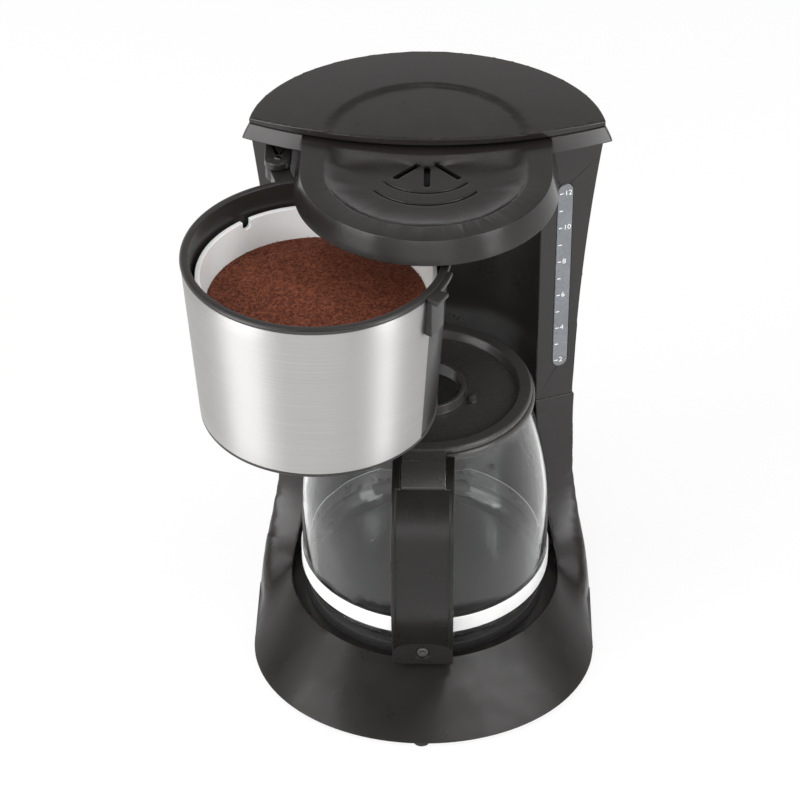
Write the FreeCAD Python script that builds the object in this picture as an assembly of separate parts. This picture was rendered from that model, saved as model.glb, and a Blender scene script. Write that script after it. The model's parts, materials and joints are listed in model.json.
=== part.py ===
import FreeCAD, Part
import math
import os

# Drip coffee maker, shown with its filter basket swung out to the left.
# All sizes in mm. The jug axis is x = y = 0 while building, the front is -y,
# and z = 0 is the table. One shift at the end centres the whole on its box.

V = FreeCAD.Vector
UP = V(0, 0, 1)

# Walls and fits
WALL = 2.5
FIT = 0.3
RUN = 0.06
SNUG = 0.02

# Stand
FOOT_H = 2.5
FOOT_R = 4.5
BASE_R = 95.0
BASE_DEPTH = 82.0
BASE_FRONT_Y = -42.0
RIM_R = 75.0
RIM_Z = 20.6
MOAT_Z = 16.0
CONE_DROP = 3.2
PLATE_WALL = 2.0
SEAM_Z = 113.0
SEAM_STEP = 1.0
SEAM_BOSS = 17.0
SEAM_SCREW_X = 52.0
SEAM_SCREW_Y = 75.0
FOOT_X = 56.0
FOOT_Y = 70.0

# Tower: a round back about (0, BACK_Y), two columns with slanted faces
BACK_Y = 10.4
HEEL_R = 94.0
CALF_R = 90.0
WAIST_R = 89.8
CHEST_R = 92.4
SHOULDER_R = 102.0
NICHE_R = 71.5
EDGE_X = 60.8
FACE_Y = 37.0
FACE_SLANT = 0.372
REACH = 70.0
NICHE_TOP = 280.0
FLOOR_Z = 116.0

# Cap and tank lid: an oval back about (0, CAP_Y) and a gently bowed brow in front
CAP_Z = 283.0
CAP_H = 8.0
CAP_TOP = CAP_Z + CAP_H
CAP_FLARE = 3.8
CAP_WALL = 4.0
CAP_FLOOR = 3.0
CAP_Y = 33.0
LID_HALF_W = 94.0
LID_HALF_D = 76.4
BROW_R = 219.0
BROW_Y = 20.3
LID_GAP = 0.3
LID_RIM = 2.7
LID_EDGE_Z = CAP_TOP + LID_GAP + LID_RIM
LID_CROWN = 2.0
LID_CROWN_Y = 45.0
LID_T = 2.2
LID_BACK = 10.4
LID_PIN_Y = CAP_Y + LID_HALF_D - LID_BACK
LID_PIN_DROP = 4.0
LID_PIN_Z = CAP_TOP - LID_PIN_DROP
LID_PIN_R = 1.5
LID_PIN_LONG = 14.0
LID_BLOCK = 35.0
SCOOP_R = 57.0
SCOOP_Y = 19.0
SCOOP_DEPTH = 0.7
SCOOP_LEAN = 4.3
TANK_TOP = 276.5
TANK_WALL = 2.0
TANK_GAP = 0.5
TANK_LEFT = -56.0

# Brew head
HEAD_Z = 277.0
HEAD_TOP = 290.0
HEAD_R = 68.6
HEAD_TOP_R = 65.0
DISH_R = 54.0
DISH_Z = 286.5
DISH_LEAN = 4.0
DISH_RAMP_Y = 9.0
DISH_RAMP_LONG = 12.0
DISH_BACK_Z = 289.4
GROOVE_W = 1.2
VENT_R = 1.6
HEAD_STEP_Y = 34.0
FLANGE_R = 78.0
FLANGE_T = 2.2
PAN_R = 46.0
PAN_Z = 275.9
PAN_HOLES = 12

# Filter basket, drawn closed about the jug axis and then swung open
HINGE_X = -78.0
HINGE_Y = 26.3
OPEN_DEG = 55.0
PIN_R = 2.0
LUG_R = 7.0
LUG_T = 4.3
ARM_TOP = 274.9
LOW_ARM = 187.0
BASKET_TOP = 274.6
BASKET_BASE = 178.5
RIM_H = 2.4
RIM_OUT = 68.7
BOWL_TOP_R = 67.5
BOWL_LOW_R = 61.2
BOWL_T = 3.4
BOWL_FLOOR = 184.0
WRAP_T = 0.8
WRAP_END = 25.0
WRAP_START = 170.0
LATCH_R = 71.0
LATCH_WING = 4.5
LATCH_FIN = 24.0
FILTER_Z = 262.0
FILTER_R = 61.4
FILTER_LOW_R = 51.0
FILTER_BASE = 197.0
FILTER_T = 1.8
FILTER_LIP = 6.0
NOTCH_R = 2.6
COFFEE_Z = 245.0
COFFEE_MOUND = 4.0
VALVE_HOLE = 5.0
VALVE_STEM = 3.2
VALVE_PAD_R = 24.0
VALVE_TIP = 159.5
SPRING_R = 8.0
SPRING_WIRE = 0.7
SPRING_TURNS = 5

# Jug
PLATE_Z = 22.0
PLATE_R = 66.0
PLATE_T = 1.5
JUG_BASE = 22.3
JUG_R = 68.6
JUG_NECK_R = 56.5
JUG_NECK_Z = 139.0
GLASS_T = 2.2
BAND_Z = 33.0
BAND_H = 10.0
BAND_T = 0.8
COLLAR_R = 59.5
COLLAR_Z = 144.0
COLLAR_TOP = 148.5
JUG_LID_TOP = 152.5
JUG_HOLE_R = 19.5
HANDLE_W = 33.0
HANDLE_EDGE = 2.2
HANDLE_Y = -107.0
HANDLE_ROOT_Z = 137.0
HANDLE_TAB_Y = -84.2
HANDLE_ARCH_R = 25.0
HANDLE_ARCH_Z = 45.0
SCREW_Z = 32.0
LID_HINGE_Y = -66.0
LID_HINGE_Z = 144.0
JUG_PIN_R = 1.6
LEVER_W = 23.0
LEVER_END = -85.5
LEVER_LOW = 145.2

# Heater and hoses
TUBE_R = 3.2
TUBE_Z = 16.5
TUBE_BEND_R = 48.0
ELEMENT_R = 2.9
ELEMENT_BEND_R = 40.0
ELEMENT_Y = 50.0
THERMO_Z = 15.0
CLAMP_X = 68.5
CLAMP_TOP = 8.5
CAST_IN = 34.0
CAST_OUT = 54.0
CAST_Z = 12.2
HOSE_X = 32.0
HOSE_Y = 84.0
HOSE_T = 1.4
RISER_X = -70.0
RISER_Y = 52.0
HOSE_TOP_Z = 287.4
PIPE_Y = 40.0
VALVE_Z = 52.0
PLATE_SCREW_R = 69.0
SCREW_R = 1.5
SCREW_HEAD_R = 2.8
SCREW_HEAD_H = 1.2
SWITCH_DEG = 48.0
SWITCH_Z = 60.0
SWITCH_R = CALF_R + 1.0
SWITCH_W = 22.0
SWITCH_H = 14.0
GLAND_Z = 24.0
GLAND_FLANGE_R = 7.0
TERMINAL_X = 10.0
TERMINAL_Y = 81.0

# Window in the right column
WINDOW_X = 73.8
WINDOW_W = 8.6
WINDOW_Z = 134.5
WINDOW_H = 120.0


def box(x0, y0, z0, x1, y1, z1):
    return Part.makeBox(x1 - x0, y1 - y0, z1 - z0, V(x0, y0, z0))


def cyl(r, z0, z1, x=0.0, y=0.0):
    return Part.makeCylinder(r, z1 - z0, V(x, y, z0), UP)


def ring(r0, r1, z0, z1, x=0.0, y=0.0):
    return cyl(r1, z0, z1, x, y).cut(cyl(r0, z0 - 1, z1 + 1, x, y))


def bar_x(r, x0, x1, y, z):
    return Part.makeCylinder(r, x1 - x0, V(x0, y, z), V(1, 0, 0))


def join(first, *others):
    return first.fuse(list(others)).removeSplitter()


def spin(points, y=0.0):
    """Solid of revolution about a vertical axis from (radius, height) points."""
    corners = [V(r, y, z) for r, z in points]
    face = Part.Face(Part.makePolygon(corners + corners[:1]))
    return face.revolve(V(0, y, 0), UP, 360)


def sector(r0, r1, z0, z1, deg0, deg1):
    """Part of a ring between two angles, measured from +x towards +y."""
    corners = [V(r0, 0, z0), V(r1, 0, z0), V(r1, 0, z1), V(r0, 0, z1)]
    face = Part.Face(Part.makePolygon(corners + corners[:1]))
    face.rotate(V(), UP, deg0)
    return face.revolve(V(), UP, deg1 - deg0)


def spline(points):
    curve = Part.BSplineCurve()
    curve.interpolate([V(*p) for p in points])
    return curve.toShape()


def rounded(start, corner, end):
    """Arc that touches both legs of a corner, from start to end, which lie equally far from it."""
    back = (start - corner).normalize()
    on = (end - corner).normalize()
    half = back.getAngle(on) / 2
    bend = (start - corner).Length * math.tan(half)
    inward = (back + on).normalize()
    middle = corner + inward * (bend / math.sin(half) - bend)
    return Part.Arc(start, middle, end).toShape()


def bent(points, bend):
    """Straight runs through the points with a round bend at each corner."""
    corners = [V(*p) for p in points]
    edges = []
    last = corners[0]
    for before, corner, after in zip(corners, corners[1:], corners[2:]):
        back = (before - corner).normalize()
        on = (after - corner).normalize()
        leg = bend / math.tan(back.getAngle(on) / 2)
        start = corner + back * leg
        end = corner + on * leg
        edges += [Part.makeLine(last, start), rounded(start, corner, end)]
        last = end
    return edges + [Part.makeLine(last, corners[-1])]


def biarc(start, leave, end, arrive):
    """Two arcs between two points that leave and arrive along the given directions."""
    chord = end - start
    bend = 2 * leave.dot(arrive) - 2
    along = chord.dot(leave + arrive)
    leg = (along - math.sqrt(along ** 2 - bend * chord.dot(chord))) / bend
    first = start + leave * leg
    second = end - arrive * leg
    meet = (first + second) / 2
    return [rounded(start, first, meet), rounded(meet, second, end)]


def rod(edges, r):
    """Round rod along joined straight and round edges."""
    first = edges[0]
    along = first.tangentAt(first.FirstParameter)
    outline = Part.Wire(Part.makeCircle(r, first.valueAt(first.FirstParameter), along))
    return Part.Wire(edges).makePipeShell([outline], True, False)


def arc_points(r, z, deg0, deg1, count):
    step = (deg1 - deg0) / (count - 1)
    turns = [math.radians(deg0 + step * i) for i in range(count)]
    return [(r * math.cos(a), r * math.sin(a), z) for a in turns]


def mirror_x(shape):
    return shape.mirror(V(), V(1, 0, 0))


def swung(shape):
    """Turn a closed-basket shape to the open pose of the photo."""
    turned = shape.copy()
    turned.rotate(V(HINGE_X, HINGE_Y, 0), UP, -OPEN_DEG)
    return turned


def curved_body(r0, r1, r2, z0, z2, inset=0.0, spare=0.0):
    """Round body whose side is one arc; spare adds straight ends for cutters."""
    low = V(r0 - inset, BACK_Y, z0)
    mid = V(r1 - inset, BACK_Y, (z0 + z2) / 2)
    high = V(r2 - inset, BACK_Y, z2)
    edges = [Part.Arc(low, mid, high).toShape()]
    corners = [high, V(0, BACK_Y, z2), V(0, BACK_Y, z0), low]
    if spare:
        up = V(0, 0, spare)
        corners = [high, high + up, V(0, BACK_Y, z2) + up, V(0, BACK_Y, z0) - up, low - up, low]
    edges += [Part.makeLine(a, b) for a, b in zip(corners, corners[1:])]
    return Part.Face(Part.Wire(edges)).revolve(V(0, BACK_Y, 0), UP, 360)


def stand_outline(share, z, inset=0.0):
    """Outline of the sloped stand, from the foot line (share 0) to the recess rim (share 1)."""
    rim = RIM_R + 0.8

    def part_way(foot, top):
        return foot + (top - foot) * share

    r = part_way(BASE_R, rim) - inset
    depth = part_way(BASE_DEPTH, rim) - inset
    back = part_way(HEEL_R, rim) - inset
    y = part_way(BASE_FRONT_Y, 0.0)
    oval = Part.Ellipse(V(0, y, z), r, depth)
    front = Part.ArcOfEllipse(oval, math.pi, 2 * math.pi).toShape()
    heel = Part.Arc(V(back, BACK_Y, z), V(0, BACK_Y + back, z), V(-back, BACK_Y, z)).toShape()
    right = Part.makeLine(V(r, y, z), V(back, BACK_Y, z))
    left = Part.makeLine(V(-back, BACK_Y, z), V(-r, y, z))
    return Part.Wire([front, right, heel, left])


def slope(drop=0.0):
    """The sloped front of the stand, from its foot line to the recess rim."""
    rims = [stand_outline(0.0, FOOT_H - drop), stand_outline(1.0, RIM_Z - drop)]
    return Part.makeLoft(rims, True, True)


def heel_r(z):
    """Radius of the stand's round back at a height."""
    half = (SEAM_Z - FOOT_H) / 2
    rise = (z - FOOT_H) / half - 1
    return CALF_R + (WAIST_R - HEEL_R) / 2 * rise + ((WAIST_R + HEEL_R) / 2 - CALF_R) * rise ** 2


def three_wide(face):
    """Run a side-view face across the machine, slanting back over both columns."""
    middle = face.copy()
    middle.translate(V(-2 * EDGE_X, 0, 0))
    middle = middle.extrude(V(2 * EDGE_X, 0, 0))
    right = face.extrude(V(REACH, REACH * FACE_SLANT, 0))
    return join(middle, right, mirror_x(right))


def column_sweep(inset=0.0, spare=0.0):
    """Everything behind the column fronts of the stand, which sweep forward low down."""
    top = FACE_Y + inset
    drop = SEAM_Z - inset * 1.2
    rise = SEAM_Z - FOOT_H
    curve = [
        (EDGE_X, top, drop),
        (EDGE_X, top - 3, drop - rise * 0.36),
        (EDGE_X, top - 13, drop - rise * 0.65),
        (EDGE_X, top - 35, drop - rise * 0.82),
        (EDGE_X, top - 77, drop - rise * 0.93),
    ]
    front = V(*curve[-1])
    low = -10.0
    corners = [
        front,
        V(EDGE_X, front.y, low),
        V(EDGE_X, 2 * SEAM_Z, low),
        V(EDGE_X, 2 * SEAM_Z, SEAM_Z + spare),
        V(EDGE_X, top, SEAM_Z + spare),
    ]
    if spare:
        corners.append(V(*curve[0]))
    edges = [spline(curve)] + [Part.makeLine(a, b) for a, b in zip(corners, corners[1:])]
    return three_wide(Part.Face(Part.Wire(edges)))


def column_front(inset=0.0):
    """Everything behind the flat column fronts of the tower."""
    y = FACE_Y + inset * math.hypot(1, FACE_SLANT)
    corners = [
        V(EDGE_X, y, SEAM_Z - 20),
        V(EDGE_X, 2 * SEAM_Z, SEAM_Z - 20),
        V(EDGE_X, 2 * SEAM_Z, CAP_TOP + 20),
        V(EDGE_X, y, CAP_TOP + 20),
    ]
    return three_wide(Part.Face(Part.makePolygon(corners + corners[:1])))


def niche(wall=0.0):
    """Round space for the jug and the closed basket, with its recess in the stand."""
    floor = MOAT_Z - wall
    points = [(0, floor), (RIM_R + wall, floor), (RIM_R + wall, RIM_Z)]
    points += [(NICHE_R + wall, SEAM_Z), (NICHE_R + wall, CAP_TOP + 5), (0, CAP_TOP + 5)]
    return spin(points)


def base_housing():
    heel = curved_body(HEEL_R, CALF_R, WAIST_R, FOOT_H, SEAM_Z)
    shell = slope().fuse(heel.common(column_sweep())).cut(niche())
    hollow = curved_body(HEEL_R, CALF_R, WAIST_R, FOOT_H, SEAM_Z, WALL, 3.0)
    hollow = hollow.common(column_sweep(WALL, 3.0)).fuse(slope(CONE_DROP))
    shell = shell.cut(hollow.cut(niche(WALL)))
    floor = MOAT_Z - WALL
    shell = shell.cut(cyl(PLATE_R - 4, floor - 1, MOAT_Z + 1))
    bosses = [cyl(4.0, FOOT_H + PLATE_WALL, floor + 0.5, x, y) for x, y in plate_screw_spots()]
    bosses += [cyl(4.5, CLAMP_TOP, floor + 0.5, x, 0) for x in (-CLAMP_X, CLAMP_X)]
    bosses += [cyl(4.5, SEAM_Z - SEAM_BOSS, SEAM_Z, x, y) for x, y in seam_screw_spots()]
    bosses.append(switch_pad())
    shell = shell.fuse(bosses)
    holes = [cyl(SCREW_R + SNUG, 0, floor - 0.5, x, y) for x, y in plate_screw_spots()]
    holes += [cyl(SCREW_R + SNUG, 0, floor - 0.5, x, 0) for x in (-CLAMP_X, CLAMP_X)]
    holes += [cyl(SCREW_R + 0.2, SEAM_Z - SEAM_BOSS - 3, SEAM_Z + 1, x, y) for x, y in seam_screw_spots()]
    holes.append(switch_hole())
    gland = Part.makeCylinder(5.0 + SNUG, 40, V(0, 80, GLAND_Z), V(0, 1, 0))
    return shell.cut(holes + [gland]).removeSplitter()


def plate_screw_spots():
    turns = [math.radians(45 + 90 * i) for i in range(4)]
    return [(PLATE_SCREW_R * math.cos(a), PLATE_SCREW_R * math.sin(a)) for a in turns]


def seam_screw_spots():
    return [(-SEAM_SCREW_X, SEAM_SCREW_Y), (SEAM_SCREW_X, SEAM_SCREW_Y)]


def front_foot_y():
    return BASE_FRONT_Y - BASE_DEPTH + FOOT_R + 0.6


def rear_foot_spots():
    return [(-FOOT_X, FOOT_Y), (FOOT_X, FOOT_Y)]


def base_plate():
    low = FOOT_H
    high = FOOT_H + PLATE_WALL
    share = (low + CONE_DROP + PLATE_WALL - FOOT_H) / (RIM_Z - FOOT_H)
    plate = Part.Face(stand_outline(share, low, FIT)).extrude(V(0, 0, high - low))
    spots = plate_screw_spots()
    holes = [cyl(SCREW_R + 0.2, 0, high + 1, x, y) for x, y in spots]
    holes += [cyl(3.2, 0, low + 1.2, x, y) for x, y in spots]
    holes += [cyl(FOOT_R - 2 + SNUG, 0, low + 1.5, x, y) for x, y in rear_foot_spots()]
    return plate.cut(holes)


def screw(x, y, head_z, tip_z, head_r=SCREW_HEAD_R, head_h=SCREW_HEAD_H, r=SCREW_R):
    """Pan-head screw pointing up, head below, with a cross slot."""
    body = cyl(head_r, head_z, head_z + head_h, x, y)
    body = body.fuse(cyl(r, head_z + head_h / 2, tip_z, x, y))
    slot = box(x - 1.6, y - 0.35, head_z - 0.1, x + 1.6, y + 0.35, head_z + 0.6)
    cross = slot.copy()
    cross.rotate(V(x, y, 0), UP, 90)
    return body.cut([slot, cross])


def base_screws():
    tip = MOAT_Z - WALL - 1
    return Part.makeCompound([screw(x, y, FOOT_H, tip) for x, y in plate_screw_spots()])


def clamp_screws():
    low = CLAMP_TOP - 2 - SCREW_HEAD_H
    tip = MOAT_Z - WALL - 1
    return Part.makeCompound([screw(x, 0, low, tip) for x in (-CLAMP_X, CLAMP_X)])


def tower_screws():
    low = SEAM_Z - SEAM_BOSS - SCREW_HEAD_H
    return Part.makeCompound([screw(x, y, low, FLOOR_Z + 1.5) for x, y in seam_screw_spots()])


def rubber_feet():
    feet = [cyl(FOOT_R, 0, FOOT_H, 0, front_foot_y())]
    for x, y in rear_foot_spots():
        feet.append(join(cyl(FOOT_R, 0, FOOT_H, x, y), cyl(FOOT_R - 2, 0, FOOT_H + 1.2, x, y)))
    return Part.makeCompound(feet)


def turned_switch(shape):
    shape.rotate(V(0, BACK_Y, 0), UP, SWITCH_DEG)
    return shape


def switch_box(u0, u1, w, h):
    """Block at the switch, from radius u0 to u1, w wide and h high."""
    return box(u0, BACK_Y - w / 2, SWITCH_Z - h / 2, u1, BACK_Y + w / 2, SWITCH_Z + h / 2)


def switch_pad():
    return turned_switch(switch_box(CALF_R - WALL - 1, SWITCH_R, SWITCH_W + 8, SWITCH_H + 8))


def switch_hole():
    return turned_switch(switch_box(CALF_R - 20, SWITCH_R + 5, SWITCH_W + 2 * FIT, SWITCH_H + 2 * FIT))


def switch_housing():
    body = switch_box(SWITCH_R - 13, SWITCH_R, SWITCH_W, SWITCH_H)
    body = body.fuse(switch_box(SWITCH_R, SWITCH_R + 1.5, SWITCH_W + 4, SWITCH_H + 4))
    body = body.cut(switch_box(SWITCH_R - 8, SWITCH_R + 5, SWITCH_W - 4, SWITCH_H - 2.4))
    pivot = SWITCH_R - 1.0
    long = SWITCH_W - 1
    hole = Part.makeCylinder(1.2 + RUN, long, V(pivot, BACK_Y - long / 2, SWITCH_Z), V(0, 1, 0))
    tab = switch_box(SWITCH_R - 18, SWITCH_R - 13, 5, 0.8)
    return turned_switch(body.cut(hole).fuse(tab).removeSplitter())


def switch_rocker():
    pivot = SWITCH_R - 1.0
    w = SWITCH_W - 4 - 2 * FIT
    half = SWITCH_H / 2 - 2.4
    side = [
        V(pivot - 4, 0, SWITCH_Z - half * 0.6),
        V(pivot + 2.4, 0, SWITCH_Z - half),
        V(pivot + 2.8, 0, SWITCH_Z),
        V(pivot + 4.4, 0, SWITCH_Z + half),
        V(pivot - 4, 0, SWITCH_Z + half * 0.6),
    ]
    face = Part.Face(Part.makePolygon(side + side[:1]))
    face.translate(V(0, BACK_Y - w / 2, 0))
    body = face.extrude(V(0, w, 0))
    long = SWITCH_W - 1.6
    pins = Part.makeCylinder(1.2, long, V(pivot, BACK_Y - long / 2, SWITCH_Z), V(0, 1, 0))
    return turned_switch(body.fuse(pins).removeSplitter())


def cord_gland():
    wall_y = BACK_Y + heel_r(GLAND_Z - GLAND_FLANGE_R) + 0.5
    body = Part.makeCylinder(5.0, 10.5, V(0, wall_y - 10, GLAND_Z), V(0, 1, 0))
    body = body.fuse(Part.makeCylinder(GLAND_FLANGE_R, 2.2, V(0, wall_y - 0.4, GLAND_Z), V(0, 1, 0)))
    body = body.fuse(Part.makeCylinder(6.4, 2.0, V(0, wall_y - 10, GLAND_Z), V(0, 1, 0)))
    return body.cut(Part.makeCylinder(3.2, 30, V(0, wall_y - 15, GLAND_Z), V(0, 1, 0))).removeSplitter()


def oval(grow, z):
    """Closed oval of the lid's back, grown outwards."""
    return Part.Wire(Part.Ellipse(V(0, CAP_Y, z), LID_HALF_W + grow, LID_HALF_D + grow).toShape())


def lens(low, high, z0, z1):
    """Cap outline grown by low at its bottom and by high at its top."""
    brow = V(0, BROW_Y + BROW_R, 0)
    rims = []
    for grow, z in ((low, z0), (high, z1)):
        rims.append(Part.Wire(Part.makeCircle(BROW_R + grow, brow + V(0, 0, z), UP)))
    back = Part.makeLoft([oval(low, z0), oval(high, z1)], True, True)
    return back.common(Part.makeLoft(rims, True, True))


def tower_hollow():
    hollow = curved_body(WAIST_R - SEAM_STEP, CHEST_R, SHOULDER_R, SEAM_Z, CAP_Z, WALL, 12.0)
    return hollow.common(column_front(WALL)).cut(niche(WALL))


def hinge_lug(z0, z1):
    y1 = FACE_Y + FACE_SLANT * (-HINGE_X + LUG_R - EDGE_X) + 1.5
    lug = cyl(LUG_R, z0, z1, HINGE_X, HINGE_Y)
    return lug.fuse(box(HINGE_X - LUG_R, HINGE_Y, z0, HINGE_X + LUG_R, y1, z1))


def hinge_lugs():
    top = ARM_TOP + FIT
    return [hinge_lug(top, top + LUG_T), hinge_lug(LOW_ARM - FIT - LUG_T - 1, LOW_ARM - FIT)]


def tower_housing():
    body = curved_body(WAIST_R - SEAM_STEP, CHEST_R, SHOULDER_R, SEAM_Z, CAP_Z)
    shell = body.common(column_front()).cut(niche())
    hollow = tower_hollow()
    shell = shell.cut(hollow)
    cap = lens(CAP_FLARE, 0.0, CAP_Z, CAP_TOP)
    cap = cap.cut(lens(-CAP_WALL, -CAP_WALL, CAP_Z + CAP_FLOOR, CAP_TOP + 1))
    cap = cap.cut(hollow.common(lens(-CAP_WALL, -CAP_WALL, CAP_Z - 1, CAP_TOP + 1))).cut(niche())
    shell = shell.fuse([cap] + lid_pin_blocks())
    floor = hollow.common(cyl(2 * WAIST_R, FLOOR_Z, FLOOR_Z + WALL))
    bosses = [cyl(4.5, SEAM_Z, FLOOR_Z + 0.5, x, y) for x, y in seam_screw_spots()]
    shell = shell.fuse([floor] + bosses + hinge_lugs())
    cuts = [cyl(SCREW_R + SNUG, SEAM_Z - 1, FLOOR_Z + 2, x, y) for x, y in seam_screw_spots()]
    cuts.append(cyl(TUBE_R + HOSE_T + 1, FLOOR_Z - 1, FLOOR_Z + 9, HOSE_X, HOSE_Y))
    cuts.append(cyl(TUBE_R + HOSE_T + 1, FLOOR_Z - 1, FLOOR_Z + 9, RISER_X, RISER_Y))
    cuts.append(cyl(PIN_R + SNUG, BASKET_BASE - 9, CAP_Z - 1, HINGE_X, HINGE_Y))
    front = box(-90, -90, HEAD_Z - 9, 90, HEAD_STEP_Y - FIT, CAP_TOP + 9)
    cuts.append(cyl(FLANGE_R + FIT, NICHE_TOP, CAP_TOP + 5).cut(front))
    side = LID_BLOCK + 1
    cuts.append(box(-side, LID_PIN_Y - LID_BACK, HEAD_Z - 0.5, side, 130, CAP_TOP + 5))
    cuts += [lid_pin_rods(SNUG)] + lid_swing_room()
    cuts.append(window_block(WINDOW_W + 2 * SNUG, WINDOW_H + 2 * SNUG, -4, 4))
    cuts += [cyl(SCREW_R + SNUG, NICHE_TOP - 9, NICHE_TOP + 1, x, y) for x, y in head_screw_spots()]
    low = TANK_TOP + FIT
    pads = [cyl(4.0, low, NICHE_TOP, x, y).cut(niche()) for x, y in head_screw_spots()]
    return shell.fuse(pads).cut(cuts).removeSplitter()


def head_screw_spots():
    a = math.radians(60)
    r = NICHE_R + 2.8
    return [(-r * math.cos(a), r * math.sin(a)), (r * math.cos(a), r * math.sin(a))]


def window_block(w, h, out0, out1):
    """Rounded strip lying in the right column's face, out0 to out1 along its normal."""
    end = w / 2
    strip = box(-end, out0, end, end, out1, h - end)
    for z in (end, h - end):
        strip = strip.fuse(Part.makeCylinder(end, out1 - out0, V(0, out0, z), V(0, 1, 0)))
    strip = strip.removeSplitter()
    strip.rotate(V(), UP, math.degrees(math.atan(FACE_SLANT)))
    y = FACE_Y + FACE_SLANT * (WINDOW_X - EDGE_X)
    strip.translate(V(WINDOW_X, y, WINDOW_Z + (WINDOW_H - h) / 2))
    return strip


def level_window():
    return window_block(WINDOW_W, WINDOW_H, -0.4, WALL + TANK_GAP)


def tank_shape(inset, z0, z1):
    gap = WALL + inset
    shape = curved_body(WAIST_R - SEAM_STEP, CHEST_R, SHOULDER_R, SEAM_Z, CAP_Z, gap, 2.0)
    shape = shape.common(column_front(gap)).cut(niche(gap))
    return shape.common(box(TANK_LEFT + inset, -50, z0, 120, 130, z1))


def water_tank():
    tank = tank_shape(TANK_GAP, FLOOR_Z + WALL, TANK_TOP)
    tank = tank.cut(tank_shape(TANK_GAP + TANK_WALL, FLOOR_Z + WALL + TANK_WALL, TANK_TOP + 5))
    tank = tank.fuse(cyl(TUBE_R, FLOOR_Z - 10, FLOOR_Z + WALL + 1, HOSE_X, HOSE_Y))
    return tank.cut(cyl(TUBE_R - 1.2, FLOOR_Z - 15, FLOOR_Z + 10, HOSE_X, HOSE_Y)).removeSplitter()


def crown(drop=0.0):
    """Space below the gently domed top of the tank lid."""
    top = LID_EDGE_Z + LID_CROWN - drop
    reach = 120.0
    sag = LID_CROWN * (reach / LID_HALF_W) ** 2
    left = V(0, LID_CROWN_Y, top)
    mid = V(reach / 2, LID_CROWN_Y, top - sag / 4)
    right = V(reach, LID_CROWN_Y, top - sag)
    low = CAP_TOP - 40
    corners = [right, V(reach, LID_CROWN_Y, low), V(0, LID_CROWN_Y, low), left]
    edges = [Part.Arc(left, mid, right).toShape()]
    edges += [Part.makeLine(a, b) for a, b in zip(corners, corners[1:])]
    return Part.Face(Part.Wire(edges)).revolve(V(0, LID_CROWN_Y, 0), UP, 360)


def lid_pin_rods(gap=0.0):
    half = LID_PIN_LONG / 2
    middles = (-LID_BLOCK, LID_BLOCK)
    rods = [bar_x(LID_PIN_R + gap, x - half, x + half, LID_PIN_Y, LID_PIN_Z) for x in middles]
    return Part.makeCompound(rods)


def lid_pin_blocks():
    """Blocks on the cap that hold the outer ends of the lid's pins."""
    near = LID_BLOCK + 1
    block = box(near, LID_PIN_Y - 6, CAP_Z, near + 10, LID_PIN_Y + 3, CAP_TOP)
    return [block, mirror_x(block)]


def lid_swing_room():
    """Space in the cap for the back edge of the lid, which turns down round the pins."""
    far = LID_BLOCK + 22
    room = sector(LID_PIN_DROP, LID_BACK, LID_BLOCK - 1, far, 50, 190)
    room.rotate(V(), V(0, 1, 0), 90)
    room.translate(V(0, LID_PIN_Y, LID_PIN_Z))
    return [room, mirror_x(room)]


def tank_lid():
    low = CAP_TOP + LID_GAP
    high = LID_EDGE_Z + 10
    lid = lens(0.0, 0.0, low, high).common(crown())
    lip = V(0, SCOOP_Y, LID_EDGE_Z + LID_CROWN - 5)
    scoop = Part.makeCone(SCOOP_R - 5 * SCOOP_LEAN, SCOOP_R + 3 * SCOOP_LEAN, 8, lip, UP)
    scoop = scoop.cut(crown(SCOOP_DEPTH))
    room = lens(-WALL, -WALL, low - 1, high).common(crown(LID_T))
    knuckle = bar_x(5.0, -LID_BLOCK, LID_BLOCK, LID_PIN_Y, LID_PIN_Z)
    neck = box(-LID_BLOCK, LID_PIN_Y - 5, LID_PIN_Z, LID_BLOCK, LID_PIN_Y + 2.6, LID_EDGE_Z - 1.5)
    lid = lid.cut([scoop, room]).fuse([knuckle, neck])
    return lid.cut(lid_pin_rods(RUN)).removeSplitter()


def tongue(inset, z0, z1):
    """Round-ended brew head shape, a little wider at the bottom."""
    taper = (HEAD_R - HEAD_TOP_R) / (HEAD_TOP - HEAD_Z)
    low = HEAD_R - inset - taper * (z0 - HEAD_Z)
    high = HEAD_R - inset - taper * (z1 - HEAD_Z)
    corners = [V(-low, 0, z0), V(low, 0, z0), V(high, 0, z1), V(-high, 0, z1)]
    back = Part.Face(Part.makePolygon(corners + corners[:1])).extrude(V(0, NICHE_R, 0))
    shape = Part.makeCone(low, high, z1 - z0, V(0, 0, z0), UP).fuse(back)
    return shape.common(cyl(NICHE_R - FIT - inset, z0, z1)).removeSplitter()


def groove(y, r, half_deg):
    half = GROOVE_W / 2
    cutter = sector(r - half, r + half, DISH_Z - GROOVE_W, DISH_Z + 1, -90 - half_deg, -90 + half_deg)
    cutter.translate(V(0, y, 0))
    return cutter


def vent(x0, y0, x1, y1):
    along = V(x1 - x0, y1 - y0, 0)
    low = DISH_Z - 5
    high = DISH_Z + 1
    slot = box(-VENT_R, 0, low, VENT_R, along.Length, high)
    slot = slot.fuse([cyl(VENT_R, low, high), cyl(VENT_R, low, high, 0, along.Length)]).removeSplitter()
    slot.rotate(V(), UP, math.degrees(math.atan2(along.y, along.x)) - 90)
    slot.translate(V(x0, y0, 0))
    return slot


def head_shelf():
    """Lower ceiling at the back of the brew head, under the tank lid."""
    return box(-90, HEAD_STEP_Y - 2, NICHE_TOP + 1, 90, 90, HEAD_TOP)


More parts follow.
